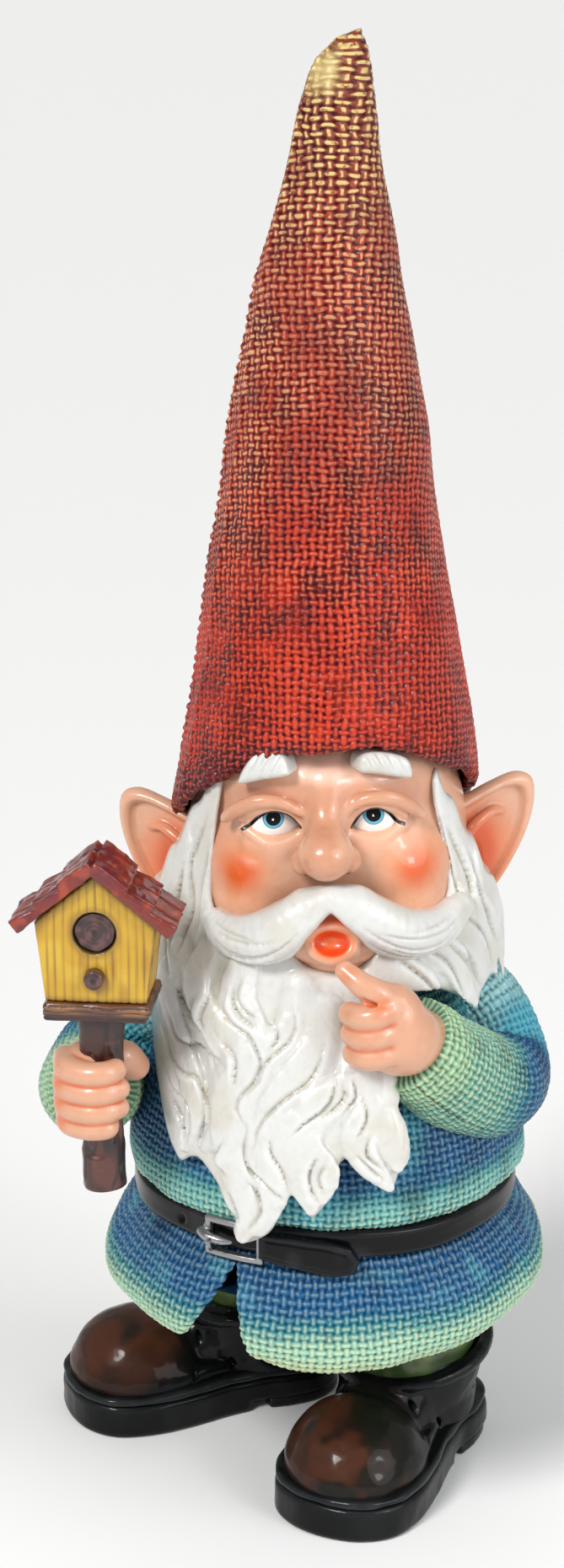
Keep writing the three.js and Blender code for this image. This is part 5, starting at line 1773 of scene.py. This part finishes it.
def make_house():
    walls = [[-12.9, WALL_LOW], [12.9, WALL_LOW], [15.3, EAVES], [0, APEX], [-15.3, EAVES]]
    low, high = HOUSE + (-22, -15, WALL_LOW - 3), HOUSE + (22, 15, APEX + 3)
    clay = Clay(low, high, 0.4)
    clay.add(slab(walls, FRONT_V, -FRONT_V, 0.5, axes=HOUSE_AXES, centre=HOUSE))
    clay.cut(slab(circle(5.4, DOORWAY_Z), -14, FRONT_V + 2.4, 0, axes=HOUSE_AXES, centre=HOUSE), 0.5)
    verts, quads = clay.skin(1)
    u, v, w = house_frame(verts)
    wall_front = step(FRONT_V + 1.2, FRONT_V + 0.3, v) * (np.hypot(u, w - DOORWAY_Z) > 6.0)
    wander = u + 0.3 * lumps(verts * (1, 1, 0.3), 5, 72)
    lines = np.array([-12.0, -10.2, -7.9, -5.6, -3.9, -1.8, 0.4, 2.6, 4.3, 6.4, 8.4, 10.4, 12.3])
    gap = np.abs(wander[:, None] - lines[None]).min(axis=1)
    depth = 0.55 + 0.45 * lumps(np.stack([wander * 0.8, w * 0.22, 0 * u], -1), 2.2, 73)
    groove = bell(gap, 0, 0.26) * np.clip(depth, 0, 1)
    side_lines = np.array([-6.2, -2.8, 0.4, 3.6, 6.6])
    side_gap = np.abs((v + 0.4 * lumps(verts, 5, 74))[:, None] - side_lines[None]).min(axis=1)
    wall_side = step(11.5, 12.6, np.abs(u)) * (1 - wall_front)
    groove = groove * wall_front + bell(side_gap, 0, 0.36) * wall_side
    grain = 0.12 * lumps(verts * (1, 1, 0.15), 0.9, 75)
    out = pushed(verts, quads, -(0.42 * groove + grain * 0.6))
    hole = np.hypot(u, w - DOORWAY_Z)
    paint = mix(YELLOW, colour(208, 170, 46), 0.8 * step(-0.2, 0.6, lumps(verts, 6, 76)))
    paint = layered(
        paint,
        (OLIVE, 0.85 * groove),
        (colour(150, 104, 26), 0.45 * step(0.1, 0.8, lumps(verts * (1, 1, 0.3), 2.6, 77))),
        # painted shade along the foot of the walls, above the floor board
        (OLIVE * 0.8, 0.55 * step(2.2, 0.2, w - WALL_LOW)),
    )
    under_roof = (APEX - w) - (APEX - EAVES) / 15.3 * np.abs(u)
    from_corner = np.abs(np.abs(u) - 12.9 - (w - WALL_LOW) * 0.114)
    paint = layered(
        paint,
        # painted shade on the walls just under the roof's edge
        (OLIVE * 0.7, 0.65 * step(2.6, 0.2, under_roof)),
        # painted shade on the sides of the doorway's hole
        (BARK_DARK, 0.9 * step(6.2, 5.5, hole) * (v < -6)),
        (colour(140, 96, 24), 0.55 * bell(hole, 6.3, 0.8) * wall_front),
        (OLIVE, 0.8 * step(1.2, 0.1, from_corner) * step(0.0, 0.6, lumps(verts, 3, 78)) * (v > -8.5)),
    )
    # painted shade round the perch, where it meets the wall
    perch_shade = np.hypot(u, (w - 169.6))
    paint = mix(paint, colour(132, 84, 26), 0.7 * step(4.4, 2.4, perch_shade) * wall_front)
    piece("birdhouse_walls_carved", out, quads, "birdhouse_walls", "birdhouse_walls", "wood", Paint=paint)


def make_house_discs():
    """The dark disc in the doorway and the perch below it, with a cut log's rings."""
    for name, middle, radius, y0, y1, node in (
        ("birdhouse_doorway_carved", DOORWAY_Z, 5.2, FRONT_V + 0.9, FRONT_V + 2.4, "birdhouse_doorway"),
        ("birdhouse_perch_carved", PERCH_Z, 2.5, FRONT_V - 3.2, FRONT_V + 1.5, "birdhouse_perch"),
    ):
        at = HOUSE + (0, 0, middle)
        clay = Clay(at - (9, 15, 9), at + (9, 0, 9), 0.25)
        ring = [
            [radius * math.cos(t) * (1 + 0.03 * math.sin(3 * t)), middle + radius * math.sin(t)]
            for t in np.linspace(0, 2 * np.pi, 44)[:-1]
        ]
        clay.add(slab(ring, y0, y1, 0.7 if radius < 4 else 0.3, axes=HOUSE_AXES, centre=HOUSE))
        verts, quads = clay.skin(2)
        u, v, w = house_frame(verts)
        from_middle = np.hypot(u + 0.1, (w - middle) * 1.05) + 0.25 * lumps(verts, 2.2, 79)
        rings = np.cos(from_middle * 2 * np.pi / 1.25)
        out = pushed(verts, quads, (0.05 * rings + 0.2 * lumps(verts, 1.8, 68)) * (v < y0 + 0.5))
        paint = mix(
            colour(98, 62, 58), colour(56, 32, 32), step(-0.5, 0.5, lumps(verts, 1.6, 80) - 0.2 * rings),
        )
        dark = step(0.9, 0.3, from_middle) + 0.5 * step(radius * 0.82, radius, from_middle)
        paint = mix(paint, BARK_DARK, dark)
        piece(name, out, quads, node, "birdhouse_wood", "wood", Paint=paint)


def make_house_floor():
    low, high = HOUSE + (-19, -16, 155.5), HOUSE + (19, 16, 166)
    clay = Clay(low, high, 0.38)
    for z, grow, side in ((161.7, 0.0, 0.35), (159.8, -0.5, -0.2)):
        halves = (13.9 + grow, HOUSE_DEPTH / 2 + 1.5 + grow, 1.5)
        clay.add(brick(HOUSE + HOUSE_AXES[0] * side + (0, 0, z), halves, 1.1, HOUSE_AXES), 0.2)
    verts, quads = clay.skin(1)
    u, _, w = house_frame(verts)
    row = w + 0.25 * np.sin(u * 0.5) + 0.3 * lumps(verts * (0.3, 1, 1), 4, 81)
    gap = np.abs(row[:, None] - np.array([159.4, 161.2, 162.6])[None]).min(axis=1)
    groove = bell(gap, 0, 0.24) * (0.5 + 0.5 * step(-0.3, 0.3, lumps(verts * (0.25, 1, 1), 2.2, 82)))
    out = pushed(verts, quads, -(0.4 * groove + 0.12 * lumps(verts * (0.2, 1, 1), 1.0, 83)))
    paint = mix(
        colour(148, 98, 52), colour(102, 62, 44), step(-0.3, 0.5, lumps(verts * (0.3, 1, 1), 3.5, 84)),
    )
    paint = layered(
        paint,
        (BARK, step(161.0, 160.0, w)),
        (BARK_DARK, 0.9 * groove + 0.5 * step(12.6, 14, np.abs(u))),
    )
    piece("birdhouse_floor_carved", out, quads, "birdhouse_floor", "birdhouse_wood", "wood", Paint=paint)


def make_roof():
    fall = math.atan2(APEX - EAVES, 15.4)
    cos, sin = math.cos(fall), math.sin(fall)
    length = 18.8 / cos
    courses, tile_width = 3, 7.2
    for side, s in (("left", 1), ("right", -1)):
        outline = [[-2, 0.35], [length, 0.35]]
        for k in range(courses, 0, -1):
            outline.append([length * k / courses + (0.0 if k == courses else 0.6), 4.2])
            outline.append([length * (k - 1) / courses + 0.4, 2.9] if k > 1 else [-2, 4.0])
        outline = [[(u * cos + w * sin) * s, APEX + 0.3 - u * sin + w * cos] for u, w in outline]
        low, high = HOUSE + (min(0, 24 * s) - 3, -16, 178), HOUSE + (max(0, 24 * s) + 3, 16, 206)
        clay = Clay(low, high, 0.36)
        clay.add(slab(outline, -12.2, 7.0, 0.6, axes=HOUSE_AXES, centre=HOUSE))

        def from_ridge(x, y, z, s=s):
            return -s * ((x - HOUSE[0]) * HOUSE_AXES[0][0] + (y - HOUSE[1]) * HOUSE_AXES[0][1]) - 0.6

        clay.keep(from_ridge)
        verts, quads = clay.skin(1)
        u, v, w = house_frame(verts)
        u = u * s
        down = u * cos - (w - APEX) * sin
        course = np.floor(np.clip(down / length * courses, 0, courses - 0.01))
        row = v + 2.2 * (course % 2) + 0.3 * lumps(verts, 3, 92)
        seam = np.abs((row / tile_width + 0.5) % 1 - 0.5) * tile_width
        on_top = (w - APEX) * cos + u * sin > 1.6
        groove = bell(seam, 0, 0.3) * on_top * (np.abs(v) < 10.5)
        relief = 0.35 * lumps(verts, 3.2, 91) + 0.12 * lumps(verts * (1, 0.3, 1), 1.1, 93) - 0.5 * groove
        out = pushed(verts, quads, relief)
        paint = mix(ROOF_RED, colour(104, 30, 34), step(-0.4, 0.5, lumps(verts, 5, 94)))
        paint = layered(
            paint,
            (colour(168, 66, 42), 0.7 * step(0.15, 0.7, lumps(verts, 2.6, 95))),
            # painted shade in the hollows between the courses; the grooves are the tiles' dark joints
            (ROOF_DARK, 0.9 * step(0.03, 0.4, hollow(verts, quads, 10)) + 0.8 * groove),
        )
        piece(
            f"birdhouse_roof_{side}_carved", out, quads, f"birdhouse_roof_{side}", "birdhouse_roof",
            "wood", Paint=paint,
        )


def make_post():
    bottom, top = 109.0, 158.0
    clay = Clay((POST_X - 8, POST_Y - 8, bottom - 2), (POST_X + 8, POST_Y + 8, top + 1.5), 0.36)
    t = np.linspace(0, 2 * np.pi, 40)[:-1]
    width = 5.3 * np.cos(t) * (1 + 0.05 * np.cos(3 * t + 1))
    shape = np.column_stack([width, 5.3 * np.sin(t) * (1 + 0.05 * np.sin(2 * t))])
    clay.add(slab(shape, bottom, top, 0.6, across=(0, 1), centre=(POST_X, POST_Y, 0)))
    verts, quads = clay.skin(1)
    a = np.arctan2(verts[:, 1] - POST_Y, verts[:, 0] - POST_X)
    z = verts[:, 2]
    swirl = np.stack([6 * np.cos(a), 6 * np.sin(a), z * 0.2], axis=-1)
    ridge = lumps(swirl, 2.4, 101)
    plates = 0.35 * step(0.0, 0.25, ridge) + 0.25 * lumps(verts, 3.4, 102)
    step_in = 0.7 * step(118, 120, z + 0.8 * lumps(verts, 4, 103)) * bell(a, -1.9, 0.55)
    wrap = 0.9 * bell(z, 155, 2.4) + 0.5 * bell(z, 151, 1.5)
    away_from_ends = step(bottom, bottom + 1.2, z) * step(top + 0.4, top - 0.4, z)
    out = pushed(verts, quads, (plates - step_in + wrap * 0.4) * away_from_ends)
    paint = mix(BARK, colour(84, 42, 32), step(0.0, 0.6, lumps(verts * (1, 1, 0.5), 4.5, 104)))
    paint = layered(
        paint,
        (BARK_DARK, 0.85 * step(0.12, -0.1, np.abs(ridge) - 0.12)),
        (colour(112, 62, 50), 0.5 * step(0.35, 0.8, lumps(verts, 2.2, 105))),
        (BARK_DARK, 0.5 * step(147, 150, z) * step(0.1, -0.3, lumps(verts, 3, 106))),
    )
    piece("birdhouse_post_carved", out, quads, "birdhouse_post", "bark", "wood", Paint=paint)


# ---- Legs and boots -----------------------------------------------------------------------------

# each foot's middle, and its turn in degrees
FEET = {"left": ((16.8, -2.0, 0.0), -25.0), "right": ((-36.5, 42.0, 0.0), -68.0)}
SOLE_TOP, WELT_TOP = 10.0, 12.0
FOOT_REACH = 46  # how far each boot's grid reaches from the foot's middle
FOOT_LOW = np.array([-FOOT_REACH, -FOOT_REACH, -1.2])
SOLE = [
    [0, -42.5], [11, -40.4], [19, -33.5], [21.9, -22], [21.4, -9], [19.6, 3], [19.6, 14], [20.9, 23],
    [19.6, 33], [13, 40.6], [0, 42.5],
]


def sole_outline(inset):
    right = [[x * (1 - inset / 22), y * (1 - inset / 42.5)] for x, y in SOLE]
    left = [[-x, y] for x, y in right[1:-1]][::-1]
    return ring_track(right + left, 90)


TOE_FREE = (0, 90, 0)  # moves a part's points off the toe cap, so that it gets no brown


def boot_paint(verts, quads, q, edge=0.0):
    """Black with brown showing through on the toe cap, blue-grey on the bulges and edges as a painted
    highlight, and black in the creases as painted shade.
    """
    crease = hollow(verts, quads, 14)
    paint = mix(colour(8, 9, 10), colour(22, 23, 24), step(-0.2, 0.7, lumps(verts, 8, 111)))
    cap = step(23, 14, np.linalg.norm((q - (0, -24, 22)) * (1, 1, 0.9), axis=1))
    to_left = verts[:, 0] - verts[:, 0].mean()
    brown = step(-0.3, 0.7, lumps(verts, 10, 112) + 0.4 * lumps(verts, 3.5, 113) - 0.03 * to_left)
    paint = layered(
        paint,
        (colour(54, 34, 24), 0.85 * cap * brown),
        (colour(34, 34, 26), 0.6 * cap * (1 - brown)),
        (colour(88, 48, 32), 0.5 * cap * step(0.35, 0.9, brown * 0.7 + 0.4 * lumps(verts, 5, 114))),
        # painted highlight: blue-grey on the bulges and edges, and over a whole part as much as edge gives
        (colour(54, 58, 60), 0.6 * step(0.06, 0.5, -crease) + edge),
    )
    # painted shade: black in the creases
    return mix(paint, colour(8, 8, 10), 0.85 * step(0.05, 0.5, crease))


def boot_piece(part, verts, quads, q, edge=0.0):
    paint = boot_paint(verts, quads, q, edge)
    piece(f"gnome_{part}", verts, quads, part, "boots", "leather", Paint=paint)


def make_sole(side, c, axes, at):
    clay = Clay(c + FOOT_LOW, c + (FOOT_REACH, FOOT_REACH, SOLE_TOP + 2), 0.6)
    clay.add(slab(sole_outline(0.5), 0.0, SOLE_TOP, 1.6, across=(0, 1), axes=axes, centre=c))
    clay.cut(brick(at(0, 35.5, 0), (40, 26.5, 3.4), 0.4, axes), 0.6)
    verts, quads = clay.skin(1)
    q = (verts - c) @ axes.T
    level = np.abs(normals(verts, quads)[:, 2])
    wave = 0.5 * lumps(verts, 16, 115) + 0.15 * lumps(verts, 4, 119)
    out = pushed(verts, quads, wave * (1 - level))
    out[:, 2] = np.maximum(out[:, 2], 0.0)
    boot_piece(f"{side}_boot_sole", out, quads, q + TOE_FREE)


def make_heel(side, c, axes, at):
    clay = Clay(c + FOOT_LOW, c + (FOOT_REACH, FOOT_REACH, 5), 0.6)
    clay.add(slab(sole_outline(0.9), 0.0, 3.3, 0.5, across=(0, 1), axes=axes, centre=c))
    clay.cut(brick(at(0, -28, 0), (40, 43, 9), 0.0, axes), 0.5)
    verts, quads = clay.skin(1)
    verts[:, 2] = np.maximum(verts[:, 2], 0.0)
    boot_piece(f"{side}_boot_heel", verts, quads, (verts - c) @ axes.T + TOE_FREE)


def make_welt(side, c, axes, at):
    """The rounded lip between the sole and the upper, a little uneven."""
    clay = Clay(c + FOOT_LOW + (0, 0, 9), c + (FOOT_REACH, FOOT_REACH, 15), 0.5)
    welt = (sole_outline(0.6), SOLE_TOP + 0.3, WELT_TOP + 0.6, 1.05)
    clay.add(slab(*welt, across=(0, 1), axes=axes, centre=c))
    verts, quads = clay.skin(1)
    q = (verts - c) @ axes.T
    out = pushed(verts, quads, 0.3 * lumps(verts, 5, 118))
    boot_piece(f"{side}_boot_welt", out, quads, q + TOE_FREE, 0.12)


def make_upper(side, c, axes, at):
    """The toe cap, instep, shaft and rim."""
    clay = Clay(c + FOOT_LOW + (0, 0, 11), c + (FOOT_REACH, FOOT_REACH, 42), 0.55)
    base = WELT_TOP + 0.4
    clay.add(slab(sole_outline(3.4), base - 6, base + 5, 2.5, across=(0, 1), axes=axes, centre=c))
    clay.add(ball(at(0, -19.5, base + 0.5), (19.6, 20.6, 17.6), axes), 2.5)
    instep = [at(0, -10, base + 1.5, 12.6), at(0, 4, base + 5.5, 15.4), at(0, 12, base + 8, 16.6)]
    clay.add(limb(instep), 1.2)
    shaft = [at(0, 18, base, 19.8), at(0, 18, base + 8, 19.4), at(0, 18, 31, 21.6)]
    clay.add(limb(shaft, count=14), 2.5)
    turns = np.linspace(0, 2 * np.pi, 33)
    rim = [
        at(23.0 * math.cos(t), 18 + 23.0 * math.sin(t), 33.6 + 4.4 * math.sin(t), 1.9)
        for t in turns
    ]
    clay.add(limb(rim, count=60), 1.6)
    clay.cut(limb([at(0, 18, 31.5, 20.4), at(0, 18, 60, 24)], count=6), 0.8)
    for w, y, z in ((15, -1.5, base + 12), (13, 3.5, base + 16.5)):
        fold = [at(-w, y + 6, z - 9, 0.8), at(-w * 0.6, y + 1, z - 2, 1.2), at(0, y, z + 3.4, 1.2),
                at(w * 0.6, y + 1, z - 2, 1.2), at(w, y + 6, z - 9, 0.8)]
        clay.cut(limb(fold), 1.8)
    seam = [
        at(-19.4, -9.5, base + 1, 0.7), at(-14, -5.4, base + 10, 0.8), at(0, -3.4, base + 15.4, 0.9),
        at(14, -5.4, base + 10, 0.8), at(19.4, -9.5, base + 1, 0.7),
    ]
    clay.cut(limb(seam, count=20), 0.9)
    for s in (-1, 1):
        side_seam = [at(19.8 * s, 6, base + 3, 0.6), at(20.4 * s, 14, base + 5.4, 0.7),
                     at(20.2 * s, 24, base + 5.2, 0.7), at(15 * s, 36, base + 4.6, 0.6)]
        clay.cut(limb(side_seam, count=18), 0.8)
    clay.keep(lambda x, y, z: base - 0.35 - z, 0)
    verts, quads = clay.skin(2)
    q = (verts - c) @ axes.T
    out = pushed(verts, quads, 0.45 * lumps(verts, 12, 116) + 0.12 * lumps(verts, 3, 117))
    out[:, 2] = np.maximum(out[:, 2], base - 0.35)
    boot_piece(f"{side}_boot_upper", out, quads, q)


def make_boots():
    for side, (centre, yaw) in FEET.items():
        axes, c = turn(yaw=yaw), np.array(centre)

        def at(x, y, z, r=None, axes=axes, c=c):
            p = c + x * axes[0] + y * axes[1] + z * axes[2]
            return [*p] if r is None else [*p, r]

        for make_part in (make_sole, make_heel, make_welt, make_upper):
            make_part(side, c, axes, at)


LEGS = {  # x, y, z and radius, from the boot to the coat
    "left": [
        [23, 12, 26, 18.0], [22.4, 10.6, 38, 20.6], [21, 9.5, 50, 20.0], [19, 8, 64, 18.6],
        [16, 6.4, 79, 18],
    ],
    "right": [
        [-20.5, 47, 26, 15.6], [-20, 43, 40, 16.8], [-18.4, 37, 52, 16.4], [-17, 31, 64, 15.6],
        [-13.6, 24.8, 79, 15.2],
    ],
}


def make_trousers():
    for side, points in LEGS.items():
        rows, columns = 110, 200
        path = track(points, rows)
        a = np.linspace(0, 2 * np.pi, columns, endpoint=False)[None]
        x, y, z, r = (path[:, k : k + 1] for k in range(4))
        p = np.stack([x + r * np.cos(a), y + r * np.sin(a), z + 0 * a], axis=-1)
        folds = 0.8 * lumps(p * (0.5, 0.5, 1.3), 8, 121) + 0.4 * lumps(p, 3.5, 122)
        push_round(p, folds, a)
        verts = p.reshape(-1, 3)
        quads = grid(rows, columns)
        verts, bottom = fan(verts, np.arange(columns), flip=True)
        verts, top = fan(verts, np.arange(columns) + (rows - 1) * columns)
        paint = mix(colour(120, 148, 66), colour(62, 92, 38), step(-0.3, 0.5, lumps(verts, 7, 123)))
        paint = layered(
            paint,
            (colour(166, 178, 110), 0.7 * step(0.2, 0.8, lumps(verts, 5, 124))),
            # painted shade: darker green low down in the boot's shaft and high up under the coat's skirt
            (colour(38, 56, 28), 0.8 * step(44, 36, verts[:, 2]) + 0.6 * step(60, 72, verts[:, 2])),
        )
        piece(
            f"gnome_{side}_trouser_leg", verts, [quads, bottom, top], f"{side}_trouser_leg", "trousers",
            "trousers", Paint=paint,
        )


set_stage()
for make in (
    make_hat, make_head, make_eyes, make_lips, make_ears, make_beard, make_moustache, make_brows,
    make_back_hair, make_coat_body, make_skirt, make_sleeves, make_fist, make_pointing_hand, make_belt,
    make_buckle, make_belt_tail, make_house, make_house_discs, make_house_floor, make_roof, make_post,
    make_boots, make_trousers,
):
    make()
